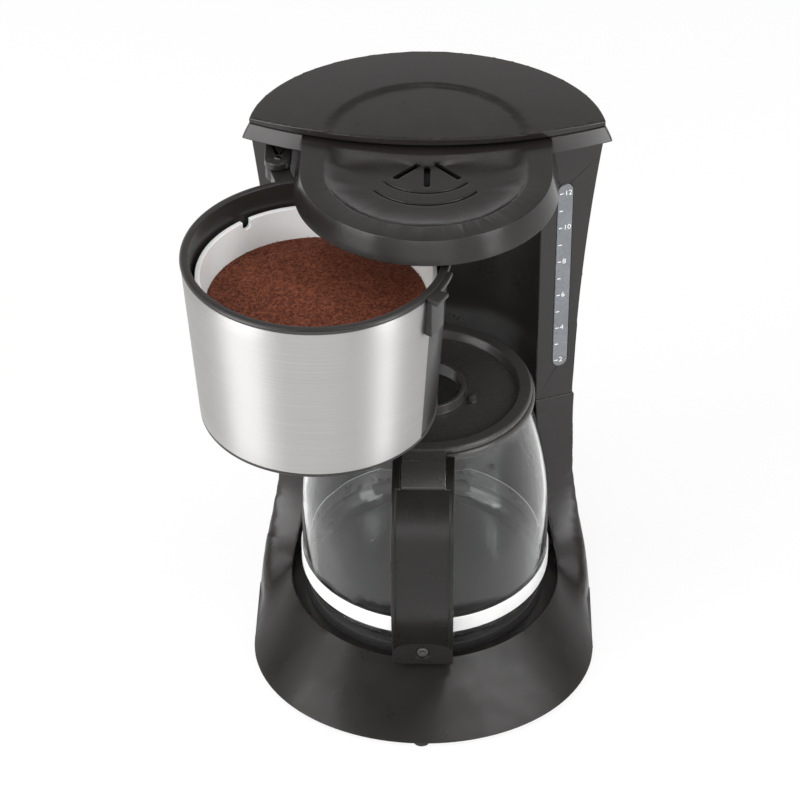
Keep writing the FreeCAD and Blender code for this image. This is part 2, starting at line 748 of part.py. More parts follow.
def head_dish():
    """Space in the top of the brew head: leaning sides and a floor that rises to the tank lid."""
    top = HEAD_TOP + 1
    low = DISH_R - DISH_LEAN
    bowl = Part.makeCone(low, DISH_R, top - DISH_Z, V(0, 0, DISH_Z), UP)
    corners = [V(-low, 0, DISH_Z), V(low, 0, DISH_Z), V(DISH_R, 0, top), V(-DISH_R, 0, top)]
    back = Part.Face(Part.makePolygon(corners + corners[:1])).extrude(V(0, HEAD_STEP_Y + 1, 0))
    end = DISH_RAMP_Y + DISH_RAMP_LONG
    side = [(DISH_RAMP_Y, DISH_Z), (end, DISH_BACK_Z), (NICHE_R, DISH_BACK_Z), (NICHE_R, DISH_Z)]
    side = [V(-NICHE_R, y, z) for y, z in side]
    ramp = Part.Face(Part.makePolygon(side + side[:1])).extrude(V(2 * NICHE_R, 0, 0))
    return bowl.fuse(back).removeSplitter().cut(ramp)


def head_cover():
    cover = tongue(0.0, HEAD_Z, HEAD_TOP)
    cover = cover.cut(box(-90, HEAD_STEP_Y, NICHE_TOP + FLANGE_T, 90, 90, HEAD_TOP + 1))
    behind = box(-90, HEAD_STEP_Y, HEAD_Z - 5, 90, 90, HEAD_TOP + 5)
    flange = cyl(FLANGE_R, NICHE_TOP, NICHE_TOP + FLANGE_T).common(behind)
    cover = cover.fuse(flange)
    room = tongue(WALL, HEAD_Z - 1, DISH_Z - 2)
    room = room.cut(head_shelf())
    vents = [vent(-15.4, -2.2, -4.8, 9.3), vent(0.5, -9.4, 0.5, 7.5), vent(16.4, -1.7, 5.8, 9.8)]
    grooves = [groove(10.8, 27.6, 52), groove(5.3, 33.1, 54)]
    holes = [cyl(SCREW_R + 0.2, NICHE_TOP - 1, NICHE_TOP + 5, x, y) for x, y in head_screw_spots()]
    holes.append(cyl(TUBE_R + SNUG, NICHE_TOP, NICHE_TOP + 9, 0, PIPE_Y))
    return cover.cut([room, head_dish()] + vents + grooves + holes).removeSplitter()


def head_screws():
    screws = []
    for x, y in head_screw_spots():
        top = NICHE_TOP + FLANGE_T + 1.2
        s = screw(0, 0, 0, top - TANK_TOP - FIT)
        s.rotate(V(), V(1, 0, 0), 180)
        s.translate(V(x, y, top))
        screws.append(s)
    return Part.makeCompound(screws)


def spray_pan():
    top = DISH_Z - 2
    pan = ring(PAN_R - 1.5, PAN_R, PAN_Z, top).fuse(cyl(PAN_R, PAN_Z, PAN_Z + 1.5))
    a = 360 / PAN_HOLES
    spots = arc_points(28, PAN_Z, 0, 360 - a, PAN_HOLES) + arc_points(14, PAN_Z, 0, 300, 6)
    return pan.cut([cyl(1.5, z - 1, z + 3, x, y) for x, y, z in spots] + [head_shelf()]).removeSplitter()


def top_run(x):
    """Point on the straight run that brings water over to the brew head."""
    return V(x, PIPE_Y + (RISER_Y - PIPE_Y) * x / RISER_X, HOSE_TOP_Z)


def spray_pipe():
    edges = bent([top_run(-42), top_run(0), V(0, PIPE_Y, NICHE_TOP - 1)], TUBE_R + 0.5)
    return rod(edges, TUBE_R).cut(rod(edges, TUBE_R - 1))


def hot_plate():
    plate = cyl(PLATE_R, PLATE_Z - PLATE_T, PLATE_Z)
    return plate.cut(ring(PLATE_R - 8, PLATE_R - 6, PLATE_Z - 0.4, PLATE_Z + 1))


def plate_seal():
    low = PLATE_Z - PLATE_T
    seal = ring(PLATE_R - 3.5, PLATE_R, MOAT_Z, low)
    return seal.fuse(ring(PLATE_R, PLATE_R + 1.2, MOAT_Z, MOAT_Z + 1.5)).removeSplitter()


def coil(r, deg, lead, tail, bend):
    """Open ring about the jug axis with both ends led away to the back."""
    a = math.radians(deg)
    start = V(r * math.cos(a), r * math.sin(a), TUBE_Z)
    out = start + V(-math.sin(a), math.cos(a), 0) * lead
    right = bent(tail + [out, start], bend)
    left = bent([start, out] + tail[::-1], bend)
    left = [mirror_x(edge) for edge in left]
    low = V(0, -r, TUBE_Z)
    turn = Part.Arc(start, low, V(-start.x, start.y, TUBE_Z)).toShape()
    return right + [turn] + left


def tube_path():
    tail = [V(HOSE_X, HOSE_Y, 30), V(HOSE_X, HOSE_Y, 9), V(HOSE_X, HOSE_Y - 34, 9)]
    return coil(TUBE_BEND_R, 38, 10, tail, 5.0)


def water_tube():
    path = tube_path()
    return rod(path, TUBE_R).cut(rod(path, TUBE_R - 0.8))


def element_path():
    return coil(ELEMENT_BEND_R, 48, 14, [V(16.4, ELEMENT_Y, TUBE_Z)], 5.0)


def heating_element():
    return rod(element_path(), ELEMENT_R)


def heater_casting():
    body = sector(CAST_IN, CAST_OUT, CAST_Z, PLATE_Z - PLATE_T, 140, 400)
    return body.cut([rod(tube_path(), TUBE_R + SNUG), rod(element_path(), ELEMENT_R + SNUG)])


def heater_clamp():
    low = CLAMP_TOP - 2
    bar = box(-CLAMP_X - 6, -7, low, CLAMP_X + 6, 7, CLAMP_TOP)
    pads = [box(s * 44 - 8, -6, low, s * 44 + 8, 6, CAST_Z) for s in (-1, 1)]
    post = cyl(4.0, low, THERMO_Z)
    bar = bar.fuse(pads + [post])
    return bar.cut([cyl(SCREW_R + 0.2, 0, 20, x, 0) for x in (-CLAMP_X, CLAMP_X)]).removeSplitter()


def thermostat():
    top = PLATE_Z - PLATE_T
    body = cyl(9.0, THERMO_Z, top)
    blades = [box(s * 13 - 4.5, -2, THERMO_Z + 1, s * 13 + 4.5, 2, THERMO_Z + 1.8) for s in (-1, 1)]
    return body.fuse(blades).removeSplitter()


def thermal_fuse():
    top = PLATE_Z - PLATE_T
    return bar_x(2.3, -9, 9, 22, top - 2.3).fuse(bar_x(0.6, -14, 14, 22, top - 2.3)).removeSplitter()


def riser_hose():
    path = [V(-HOSE_X, HOSE_Y, 18), V(-HOSE_X, HOSE_Y, 44), V(RISER_X, RISER_Y, 78)]
    path += [V(RISER_X, RISER_Y, HOSE_TOP_Z), top_run(-30)]
    edges = bent(path, 10.0)
    return rod(edges, TUBE_R + HOSE_T).cut(rod(edges, TUBE_R + SNUG))


def inlet_hose():
    pipes = [(VALVE_Z + 15, FLOOR_Z - 1), (18, VALVE_Z - 1)]
    out = TUBE_R + HOSE_T
    return Part.makeCompound([ring(TUBE_R + SNUG, out, z0, z1, HOSE_X, HOSE_Y) for z0, z1 in pipes])


def check_valve():
    body = cyl(6.5, VALVE_Z, VALVE_Z + 14, HOSE_X, HOSE_Y)
    body = body.fuse(cyl(TUBE_R, VALVE_Z - 9, VALVE_Z + 23, HOSE_X, HOSE_Y))
    return body.cut(cyl(1.8, 0, SEAM_Z, HOSE_X, HOSE_Y)).removeSplitter()


def hose_clips():
    out = TUBE_R + HOSE_T
    spots = [(HOSE_X, 21), (HOSE_X, VALVE_Z - 8), (HOSE_X, VALVE_Z + 16), (HOSE_X, FLOOR_Z - 9)]
    spots.append((-HOSE_X, 20))
    return Part.makeCompound([ring(out + SNUG, out + 0.9, z, z + 4, x, HOSE_Y) for x, z in spots])


def terminal_block():
    low = FOOT_H + PLATE_WALL
    block = box(-TERMINAL_X, TERMINAL_Y, low, TERMINAL_X, TERMINAL_Y + 9, low + 9)
    return block.cut([box(x - 1.5, 0, low + 5, x + 1.5, 100, low + 10) for x in (-6, 0, 6)])


def wiring():
    z = FOOT_H + PLATE_WALL + 3
    wires = []
    for side in (-1, 1):
        end = V(side * 16.4, ELEMENT_Y + 0.1, TUBE_Z)
        path = [V(side * 6, TERMINAL_Y - 0.1, z), V(side * 6, TERMINAL_Y - 11, z)]
        path += [end + V(0, 9, TUBE_Z - 26), end + V(0, 4, 0), end]
        wires.append(rod(bent(path, 1.5), 1.2))
    a = math.radians(SWITCH_DEG)
    reach = SWITCH_R - 18 - 0.1
    out = V(math.cos(a), math.sin(a), 0)
    tab = V(0, BACK_Y, SWITCH_Z) + out * reach
    below = tab - out * 1.5
    start = V(TERMINAL_X + 0.1, TERMINAL_Y + 4, z)
    path = [start, start + V(4, 0, 0), V(20, TERMINAL_Y - 3, z + 6), V(HOSE_X, HOSE_Y - 9.5, 26)]
    path += [below - V(0, 0, 12), below - V(0, 0, 0.1), tab]
    wires.append(rod(bent(path, 1.3), 1.2))
    return Part.makeCompound(wires)


def bowl_out(z):
    part = (z - BASKET_BASE) / (BASKET_TOP - RIM_H - BASKET_BASE)
    return BOWL_LOW_R + (BOWL_TOP_R - BOWL_LOW_R) * part


def bowl_outer(gap=0.0):
    shoulder = BASKET_TOP - RIM_H
    points = [(0, BASKET_BASE), (BOWL_LOW_R + WRAP_T + gap, BASKET_BASE)]
    lip = BASKET_BASE + 2
    points += [(BOWL_LOW_R + WRAP_T + gap, lip), (bowl_out(lip) + gap, lip)]
    points += [(bowl_out(shoulder) + gap, shoulder), (RIM_OUT + gap, shoulder)]
    points += [(RIM_OUT + gap, BASKET_TOP - 1), (RIM_OUT - 1 + gap, BASKET_TOP + gap), (0, BASKET_TOP + gap)]
    return spin(points)


def basket_bowl():
    low = BOWL_FLOOR
    points = [(0, low), (bowl_out(low) - BOWL_T, low), (bowl_out(BASKET_TOP) - BOWL_T, BASKET_TOP + 1)]
    bowl = bowl_outer().cut(spin(points + [(0, BASKET_TOP + 1)]))
    under = BOWL_LOW_R - 4
    bowl = bowl.cut(ring(14, under, BASKET_BASE - 1, BOWL_FLOOR - WALL))
    bowl = bowl.cut(cyl(14, BASKET_BASE - 1, BOWL_FLOOR - WALL))
    reach = bowl_out(low) - 1
    turns = range(30, 390, 60)
    ribs = [sector(FILTER_LOW_R - 6, reach, low - 1, FILTER_BASE, a - 3, a + 3) for a in turns]
    reach = math.hypot(HINGE_X, HINGE_Y)
    arms = []
    for z0, z1 in ((ARM_TOP - 7, ARM_TOP), (LOW_ARM, LOW_ARM + 7)):
        arm = box(bowl_out(z0) - 1, -5, z0, reach, 5, z1)
        arm.rotate(V(), UP, math.degrees(math.atan2(HINGE_Y, HINGE_X)))
        arms.append(arm.fuse(cyl(LUG_R - 0.5, z0, z1, HINGE_X, HINGE_Y)))
    bowl = bowl.fuse(ribs + arms)
    bowl = bowl.cut([cyl(PIN_R + RUN, BASKET_BASE - 5, CAP_Z, HINGE_X, HINGE_Y), cyl(VALVE_HOLE, 170, 190)])
    return bowl.removeSplitter()


def basket_wrap():
    low = BASKET_BASE + 2
    high = BASKET_TOP - RIM_H
    gap = 0.1
    corners = [V(bowl_out(low) + gap, 0, low), V(bowl_out(low) + WRAP_T, 0, low)]
    corners += [V(bowl_out(high) + WRAP_T, 0, high), V(bowl_out(high) + gap, 0, high)]
    face = Part.Face(Part.makePolygon(corners + corners[:1]))
    face.rotate(V(), UP, WRAP_START)
    return face.revolve(V(), UP, 360 + WRAP_END - WRAP_START)


def basket_latch():
    high = BASKET_TOP
    thick = 2.6
    parts = [sector(60, LATCH_R, high - 0.5 - thick, high - 0.5, 20, 42)]
    parts.append(sector(60, LATCH_R + LATCH_WING, high - 0.5 - thick, high - 0.5, 20, 28))
    parts.append(sector(60, LATCH_R, high - LATCH_FIN, high - thick, 21, 31))
    steel = sector(50, 90, BASKET_BASE, BASKET_TOP - RIM_H + SNUG, 0, WRAP_END + 0.5)
    return join(*parts).cut([bowl_outer(SNUG), bowl_outer(WRAP_T + SNUG).common(steel)])


def basket_hinge_pin():
    return cyl(PIN_R, LOW_ARM - FIT - LUG_T - 1, ARM_TOP + FIT + LUG_T, HINGE_X, HINGE_Y)


def filter_out(z):
    return FILTER_LOW_R + (FILTER_R - FILTER_LOW_R) * (z - FILTER_BASE) / (FILTER_Z - FILTER_BASE)


def filter_in(z):
    low = FILTER_BASE + FILTER_T
    part = (z - low) / (FILTER_Z - FILTER_LIP - low)
    return FILTER_LOW_R - FILTER_T + (filter_out(FILTER_Z - FILTER_LIP) - FILTER_LOW_R) * part


def filter_insert():
    low = FILTER_BASE
    high = FILTER_Z
    lip = high - FILTER_LIP
    points = [(0, low), (FILTER_LOW_R, low), (filter_out(lip), lip), (filter_out(lip) + 0.8, lip)]
    points.append((FILTER_R, high))
    points += [(FILTER_R - FILTER_T - 0.8, high), (filter_in(lip), lip)]
    points += [(filter_in(low + FILTER_T), low + FILTER_T), (0, low + FILTER_T)]
    cup = spin(points)
    slots = [sector(10, 44, low - 1, low + 4, a - 1.5, a + 1.5) for a in range(0, 360, 20)]
    notch = box(FILTER_R - 8, -NOTCH_R, high - NOTCH_R, FILTER_R + 2, NOTCH_R, high + 1)
    notch = notch.fuse(bar_x(NOTCH_R, FILTER_R - 8, FILTER_R + 2, 0, high - NOTCH_R))
    notch.rotate(V(), UP, 185)
    return cup.cut(slots + [notch, cyl(4, low - 1, low + 4)]).removeSplitter()


def coffee_grounds():
    low = FILTER_BASE + FILTER_T + 0.1
    top = COFFEE_Z
    r = filter_in(top) - 0.15
    points = [(0, low), (filter_in(low) - 0.15, low), (r, top), (r * 0.75, top + COFFEE_MOUND * 0.6)]
    points += [(r * 0.4, top + COFFEE_MOUND), (0, top + COFFEE_MOUND * 1.1)]
    return spin(points)


def valve_plunger():
    seat = BOWL_FLOOR + 1.5
    stem = cyl(VALVE_STEM, VALVE_TIP + 2, seat)
    return stem.fuse(cyl(VALVE_HOLE + 3, seat, seat + 2)).removeSplitter()


def valve_seal():
    return ring(VALVE_STEM + SNUG, VALVE_HOLE + 2.5, BOWL_FLOOR, BOWL_FLOOR + 1.5)


def valve_foot():
    foot = cyl(VALVE_PAD_R, VALVE_TIP, VALVE_TIP + 2)
    foot = foot.fuse(ring(VALVE_STEM + SNUG, VALVE_STEM + 2, VALVE_TIP + 1, VALVE_TIP + 7))
    return foot.cut([cyl(2.0, 0, 300, x, 0) for x in (-15, 15)]).removeSplitter()


def valve_spring():
    low = VALVE_TIP + 2 + SPRING_WIRE
    high = BOWL_FLOOR - WALL - SPRING_WIRE
    pitch = (high - low) / SPRING_TURNS

    def spot(turn):
        a = 2 * math.pi * turn
        return V(SPRING_R * math.cos(a), SPRING_R * math.sin(a), low + pitch * turn)

    def heading(turn):
        a = 2 * math.pi * turn
        girth = 2 * math.pi * SPRING_R
        return V(-girth * math.sin(a), girth * math.cos(a), pitch).normalize()

    edges = []
    for i in range(4 * SPRING_TURNS):
        here, there = i / 4, (i + 1) / 4
        edges += biarc(spot(here), heading(here), spot(there), heading(there))
    fine = 36
    points = [spot(i / fine) for i in range(fine * SPRING_TURNS + 1)]
    pairs = [(a, b) for i, a in enumerate(points) for b in points[i + fine // 2:]]
    gap = min((a - b).Length for a, b in pairs) - 2 * SPRING_WIRE
    print("valve_spring least gap to itself", round(gap, 2))
    return rod(edges, SPRING_WIRE)


def jug_out(z):
    """Outside radius of the glass: straight low down, then narrowing to the neck."""
    bend = JUG_BASE + 52
    if z <= bend:
        return JUG_R
    part = (z - bend) / (JUG_NECK_Z - bend)
    return JUG_R - (JUG_R - JUG_NECK_R) * part ** 1.7


def jug_side(inset):
    """Half outline of the glass from the bottom middle to the top of the neck."""
    low = JUG_BASE + inset
    heights = [BAND_Z + BAND_H * 1.2 + 12 * i for i in range(9)]
    side = [(jug_out(z) - inset, z) for z in heights if z < JUG_NECK_Z - 3]
    foot = [(0, low), (JUG_R - 9, low), (JUG_R - 4 - inset * 0.6, low + 2), (JUG_R - 1 - inset, low + 7)]
    return foot + [(JUG_R - inset, BAND_Z)] + side + [(JUG_NECK_R - inset, JUG_NECK_Z)]


def jug_solid(inset, top):
    points = jug_side(inset)
    flat = [V(r, 0, z) for r, z in points]
    edges = [Part.makeLine(a, b) for a, b in zip(flat[:5], flat[1:5])]
    edges.append(spline([(p.x, 0, p.z) for p in flat[4:]]))
    end = V(JUG_NECK_R - inset, 0, top)
    corners = [flat[-1], end, V(0, 0, top), flat[0]]
    edges += [Part.makeLine(a, b) for a, b in zip(corners, corners[1:])]
    return Part.Face(Part.Wire(edges)).revolve(V(), UP, 360)


def jug_glass():
    return jug_solid(0.0, COLLAR_TOP - 2).cut(jug_solid(GLASS_T, COLLAR_TOP + 2))


def jug_band():
    r = JUG_R + SNUG
    band = ring(r, r + BAND_T, BAND_Z, BAND_Z + BAND_H)
    lug = box(-7, -r - 5, SCREW_Z - 3, 7, -r - 0.4, SCREW_Z + 4)
    band = band.fuse(lug.cut(cyl(r + 0.3, 0, SEAM_Z)))
    y = -r - 12
    return band.cut(Part.makeCylinder(SCREW_R + SNUG, 11.4, V(0, y, SCREW_Z), V(0, 1, 0))).removeSplitter()


def jug_collar():
    low = COLLAR_Z
    neck = JUG_NECK_R + SNUG
    points = [(neck, low), (COLLAR_R - 1, low), (COLLAR_R, low + 1), (COLLAR_R, COLLAR_TOP - 1)]
    mouth = JUG_NECK_R - GLASS_T
    points += [(COLLAR_R - 1, COLLAR_TOP), (mouth, COLLAR_TOP), (mouth, COLLAR_TOP - 2)]
    points += [(neck, COLLAR_TOP - 2)]
    collar = spin(points).cut(jug_solid(-SNUG, COLLAR_TOP - 2))
    spout = sector(mouth - 3, COLLAR_R + 3, COLLAR_TOP - 3.5, COLLAR_TOP + 1, 84, 96)
    return collar.cut([spout, lever_room()]).removeSplitter()


def lever_room():
    """Space in the collar and the handle for the jug lid's lever."""
    half = LEVER_W / 2 + FIT
    return box(-half, LEVER_END - 0.8, LID_HINGE_Z - 11, half, -COLLAR_R + 5, COLLAR_TOP + 10)


def handle_side(inset):
    """Side outline of the handle strap."""
    outer = [(-COLLAR_R - 12, 151.5), (-92, 145), (HANDLE_Y + 3, 126), (HANDLE_Y, 100), (HANDLE_Y + 5, 68)]
    outer += [(-91, 42), (-85, 24.2)]
    inner = [(-JUG_R - 4, 24.2), (-76, 42), (-88, 64), (HANDLE_Y + 11, 90), (HANDLE_Y + 13, 116), (-84, 134)]
    inner += [(-COLLAR_R - 6, HANDLE_ROOT_Z)]
    out = [(0, y + inset, z) for y, z in outer]
    back = [(0, y, z) for y, z in inner]
    root = [V(*back[-1]), V(0, -COLLAR_R + 1.5, HANDLE_ROOT_Z), V(0, -COLLAR_R + 1.5, COLLAR_TOP - 0.6)]
    root += [V(0, -COLLAR_R - 4, COLLAR_TOP + 3), V(*out[0])]
    edges = [spline(out), Part.makeLine(V(*out[-1]), V(*back[0])), spline(back)]
    edges += [Part.makeLine(a, b) for a, b in zip(root, root[1:])]
    return Part.Face(Part.Wire(edges))


def jug_handle():
    half = HANDLE_W / 2
    side = handle_side(0.0)
    side.translate(V(-half, 0, 0))
    strap = side.extrude(V(HANDLE_W, 0, 0))
    groove_face = handle_side(1.4)
    inner = half - HANDLE_EDGE
    groove_face.translate(V(-inner, 0, 0))
    middle = groove_face.extrude(V(2 * inner, 0, 0))
    wide = box(-inner, -130, HANDLE_ARCH_Z - 6, inner, LEVER_END - 0.8, COLLAR_TOP + 10)
    strap = strap.cut(wide.common(strap).cut(middle))
    strap = strap.cut(cyl(COLLAR_R + SNUG, HANDLE_ROOT_Z - 1, COLLAR_TOP + 9))
    arch = V(0, HANDLE_Y - 20, HANDLE_ARCH_Z - HANDLE_ARCH_R)
    strap = strap.cut(Part.makeCylinder(HANDLE_ARCH_R, HANDLE_TAB_Y - arch.y, arch, V(0, 1, 0)))
    strap = strap.cut(cyl(JUG_R + BAND_T + 2 * SNUG, 0, BAND_Z + BAND_H + 4))
    strap = strap.cut(box(-7.2, -JUG_R - 5.2, SCREW_Z - 3.2, 7.2, -JUG_R, SCREW_Z + 4.2))
    strap = strap.cut(lever_room())
    strap = strap.cut(bar_x(JUG_PIN_R + SNUG, -half + 2, half - 2, LID_HINGE_Y, LID_HINGE_Z))
    screw_way = Part.makeCylinder(SCREW_R + 0.2, 30, V(0, -95, SCREW_Z), V(0, 1, 0))
    head_way = Part.makeCylinder(3.2 + FIT, 15, V(0, -97, SCREW_Z), V(0, 1, 0))
    return strap.cut([screw_way, head_way]).removeSplitter()


def handle_screw():
    s = screw(0, 0, 0, 10.8, 3.2, 1.6)
    s.rotate(V(), V(1, 0, 0), -90)
    s.translate(V(0, HANDLE_TAB_Y + 0.6, SCREW_Z))
    return s


def jug_lid():
    low = COLLAR_TOP + FIT
    rim = COLLAR_R - 1.5
    points = [(JUG_HOLE_R, low - 4), (JUG_NECK_R - GLASS_T - 5, low - 4), (JUG_NECK_R - GLASS_T - 4, low)]
    points += [(rim, low), (rim, low + 2.4), (rim - 1, low + 3.2), (rim - 7, low + 3.2), (rim - 9, low - 1.4)]
    points += [(JUG_HOLE_R + 3, low - 1.4), (JUG_HOLE_R + 2.4, JUG_LID_TOP), (JUG_HOLE_R, JUG_LID_TOP)]
    lid = spin(points)
    w = LEVER_W / 2
    arm = box(-w, LID_HINGE_Y - 4, low, w, -rim + 4, low + 2.4)
    knuckle = bar_x(4.2, -w, w, LID_HINGE_Y, LID_HINGE_Z)
    neck = box(-w, LID_HINGE_Y - 4.2, LID_HINGE_Z, w, LID_HINGE_Y + 4.2, low + 2.4)
    lever = handle_side(0.0)
    lever.translate(V(-w, 0, 0))
    lever = lever.extrude(V(2 * w, 0, 0))
    lever = lever.common(box(-w, LEVER_END, LEVER_LOW, w, LID_HINGE_Y, COLLAR_TOP + 10))
    post = cyl(2.2, low - 2, low + 3.5, JUG_HOLE_R + 6, -8)
    lid = lid.fuse([arm, knuckle, neck, lever, post])
    return lid.cut(bar_x(JUG_PIN_R + RUN, -HANDLE_W, HANDLE_W, LID_HINGE_Y, LID_HINGE_Z)).removeSplitter()


def jug_lid_pin():
    half = HANDLE_W / 2 - 2
    return bar_x(JUG_PIN_R, -half, half, LID_HINGE_Y, LID_HINGE_Z)


def centre_shift():
    """Move that puts the middle of the whole outline over the origin."""
    a = math.atan2(-HINGE_Y, -HINGE_X) - math.radians(OPEN_DEG)
    reach = math.hypot(HINGE_X, HINGE_Y)
    left = HINGE_X + reach * math.cos(a) - RIM_OUT
    right = LID_HALF_W + CAP_FLARE
    front = BASE_FRONT_Y - BASE_DEPTH
    back = BACK_Y + SHOULDER_R
    return V(-(left + right) / 2, -(front + back) / 2, 0)


FIXED = [base_housing, base_plate, base_screws, rubber_feet, tower_housing, tower_screws, water_tank]
FIXED += [level_window, tank_lid, lid_pin_rods, head_cover, head_screws, spray_pan, spray_pipe]
FIXED += [hot_plate, plate_seal, heater_casting, water_tube, heating_element, heater_clamp, clamp_screws]
FIXED += [thermostat, thermal_fuse, riser_hose, inlet_hose, check_valve, hose_clips, terminal_block]
FIXED += [wiring, switch_housing, switch_rocker, cord_gland, basket_hinge_pin]
FIXED += [jug_glass, jug_band, jug_collar, jug_handle, handle_screw, jug_lid, jug_lid_pin]
SWUNG = [basket_bowl, basket_wrap, basket_latch, filter_insert, coffee_grounds]
SWUNG += [valve_plunger, valve_seal, valve_foot, valve_spring]
NAMES = {"lid_pin_rods": "lid_hinge_pins"}

os.makedirs("parts", exist_ok=True)
SHIFT = centre_shift()
for make in FIXED + SWUNG:
    shape = make()
    if make in SWUNG:
        shape = swung(shape)
    shape.translate(SHIFT)
    name = NAMES.get(make.__name__, make.__name__)
    print(name, shape.isValid(), len(shape.Solids), round(shape.Volume))
    shape.exportStep("parts/" + name + ".step")
print("shift", SHIFT.x, SHIFT.y)
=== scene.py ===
import json
import math
from contextlib import contextmanager

import bmesh
import bpy
import numpy as np
from mathutils import Matrix, Vector, noise


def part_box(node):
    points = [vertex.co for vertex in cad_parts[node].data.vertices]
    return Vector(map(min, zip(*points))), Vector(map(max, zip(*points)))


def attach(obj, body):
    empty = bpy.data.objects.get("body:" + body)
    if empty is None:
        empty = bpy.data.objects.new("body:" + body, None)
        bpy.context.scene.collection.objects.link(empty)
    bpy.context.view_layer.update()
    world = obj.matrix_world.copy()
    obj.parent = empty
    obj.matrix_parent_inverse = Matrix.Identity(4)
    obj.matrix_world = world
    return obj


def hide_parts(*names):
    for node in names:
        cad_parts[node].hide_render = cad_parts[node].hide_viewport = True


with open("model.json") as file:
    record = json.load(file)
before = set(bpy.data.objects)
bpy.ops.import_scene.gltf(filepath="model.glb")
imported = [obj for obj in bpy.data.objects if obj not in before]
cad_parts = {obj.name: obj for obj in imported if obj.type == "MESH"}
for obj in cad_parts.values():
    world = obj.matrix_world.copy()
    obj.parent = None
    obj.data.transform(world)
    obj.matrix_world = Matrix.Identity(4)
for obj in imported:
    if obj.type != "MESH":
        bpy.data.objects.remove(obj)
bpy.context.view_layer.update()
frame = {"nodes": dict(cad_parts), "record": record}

MM = 0.001
NODES = frame["nodes"]
BODY = {n: b for b, members in frame["record"]["behaviour"]["bodies"].items() for n in members}
SLOT = {row["node"]: row["material_slot"] for row in frame["record"]["subparts"]}


def middle(node):
    """Centre of a solid's box."""
    low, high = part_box(node)
    return (low + high) / 2


JUG = middle("hot_plate")
BASKET = middle("coffee_grounds")
WINDOW = middle("level_window")
COLUMN_SLANT = 0.372
COLUMN_TURN = math.atan(COLUMN_SLANT)

MERGE = 0.002 * MM
SLIVER = 0.02 * MM * MM
CUT_SNAP = 0.02 * MM
CLOSE_POINTS = 0.12 * MM
SHADE_DEG = 60
EDGE_DEG = 38


class Finish:
    """One material, put together from procedural layers on the piece's own coordinates."""

    def __init__(self, name, **sockets):
        self.material = bpy.data.materials.new(name)
        self.material.use_nodes = True
        self.nodes = self.material.node_tree.nodes
        self.links = self.material.node_tree.links
        self.shader = self.nodes["Principled BSDF"]
        self.place = self.nodes.new("ShaderNodeTexCoord").outputs["Object"]
        for label, value in sockets.items():
            self.shader.inputs[label.replace("_", " ")].default_value = value

    def feed(self, label, output):
        self.links.new(output, self.shader.inputs[label])

    def follow_uv(self, layer):
        uv = self.nodes.new("ShaderNodeUVMap")
        uv.uv_map = layer
        self.place = uv.outputs["UV"]

    def stretched(self, factors):
        mapping = self.nodes.new("ShaderNodeMapping")
        mapping.inputs["Scale"].default_value = factors
        self.links.new(self.place, mapping.inputs["Vector"])
        return mapping.outputs["Vector"]

    def grain(self, scale, detail=3.0, place=None):
        texture = self.nodes.new("ShaderNodeTexNoise")
        texture.inputs["Scale"].default_value = scale
        texture.inputs["Detail"].default_value = detail
        self.links.new(place or self.place, texture.inputs["Vector"])
        return texture.outputs["Fac"]

    def cells(self, scale):
        texture = self.nodes.new("ShaderNodeTexVoronoi")
        texture.inputs["Scale"].default_value = scale
        self.links.new(self.place, texture.inputs["Vector"])
        return texture

    def between(self, amount, low, high, start=0.3, end=0.7):
        reach = self.nodes.new("ShaderNodeMapRange")
        for label, value in zip(("From Min", "From Max", "To Min", "To Max"), (start, end, low, high)):
            reach.inputs[label].default_value = value
        self.links.new(amount, reach.inputs["Value"])
        return reach.outputs["Result"]

    def tint(self, amount, *stops):
        ramp = self.nodes.new("ShaderNodeValToRGB")
        elements = ramp.color_ramp.elements
        while len(elements) < len(stops):
            elements.new(0.5)
        for element, (position, colour) in zip(elements, stops):
            element.position = position
            element.color = (*colour, 1.0)
        self.links.new(amount, ramp.inputs["Fac"])
        return ramp.outputs["Color"]

    def relief(self, height, strength, depth, below=None):
        bump = self.nodes.new("ShaderNodeBump")
        bump.inputs["Strength"].default_value = strength
        bump.inputs["Distance"].default_value = depth
        self.links.new(height, bump.inputs["Height"])
        if below:
            self.links.new(below, bump.inputs["Normal"])
        return bump.outputs["Normal"]


def moulded_plastic(name, colour, rough, fine=0.08, shine=0.45):
    """Moulded shell: faint flow in the colour, uneven sheen and a fine eroded grain."""
    finish = Finish(name, Specular_IOR_Level=shine)
    flow = finish.grain(14, 4)
    dark = tuple(c * 0.94 for c in colour)
    light = tuple(min(1, c * 1.06) for c in colour)
    finish.feed("Base Color", finish.tint(flow, (0.3, dark), (0.7, light)))
    finish.feed("Roughness", finish.between(finish.grain(55, 5), rough - 0.05, rough + 0.06))
    skin = finish.relief(finish.grain(2600, 2), fine, 0.02 * MM)
    finish.feed("Normal", finish.relief(finish.grain(30, 2), 0.02, 0.2 * MM, skin))
    return finish.material


def brushed_steel(name):
    """Sheet steel brushed along the wrap; the layer Brush runs up the sheet, then along it."""
    finish = Finish(name, Metallic=1.0, Anisotropic=0.9)
    finish.follow_uv("Brush")
    long_lines = finish.grain(1, 5, finish.stretched((5200, 14, 1)))
    short_lines = finish.grain(1, 3, finish.stretched((14000, 90, 1)))
    finish.feed("Base Color", finish.tint(long_lines, (0.3, (0.42, 0.415, 0.41)), (0.7, (0.51, 0.505, 0.50))))
    finish.feed("Roughness", finish.between(short_lines, 0.42, 0.52))
    skin = finish.relief(short_lines, 0.10, 0.02 * MM)
    finish.feed("Normal", finish.relief(long_lines, 0.12, 0.02 * MM, skin))
    tangent = finish.nodes.new("ShaderNodeTangent")
    tangent.direction_type = "UV_MAP"
    tangent.uv_map = "Brush"
    finish.feed("Tangent", tangent.outputs["Tangent"])
    return finish.material


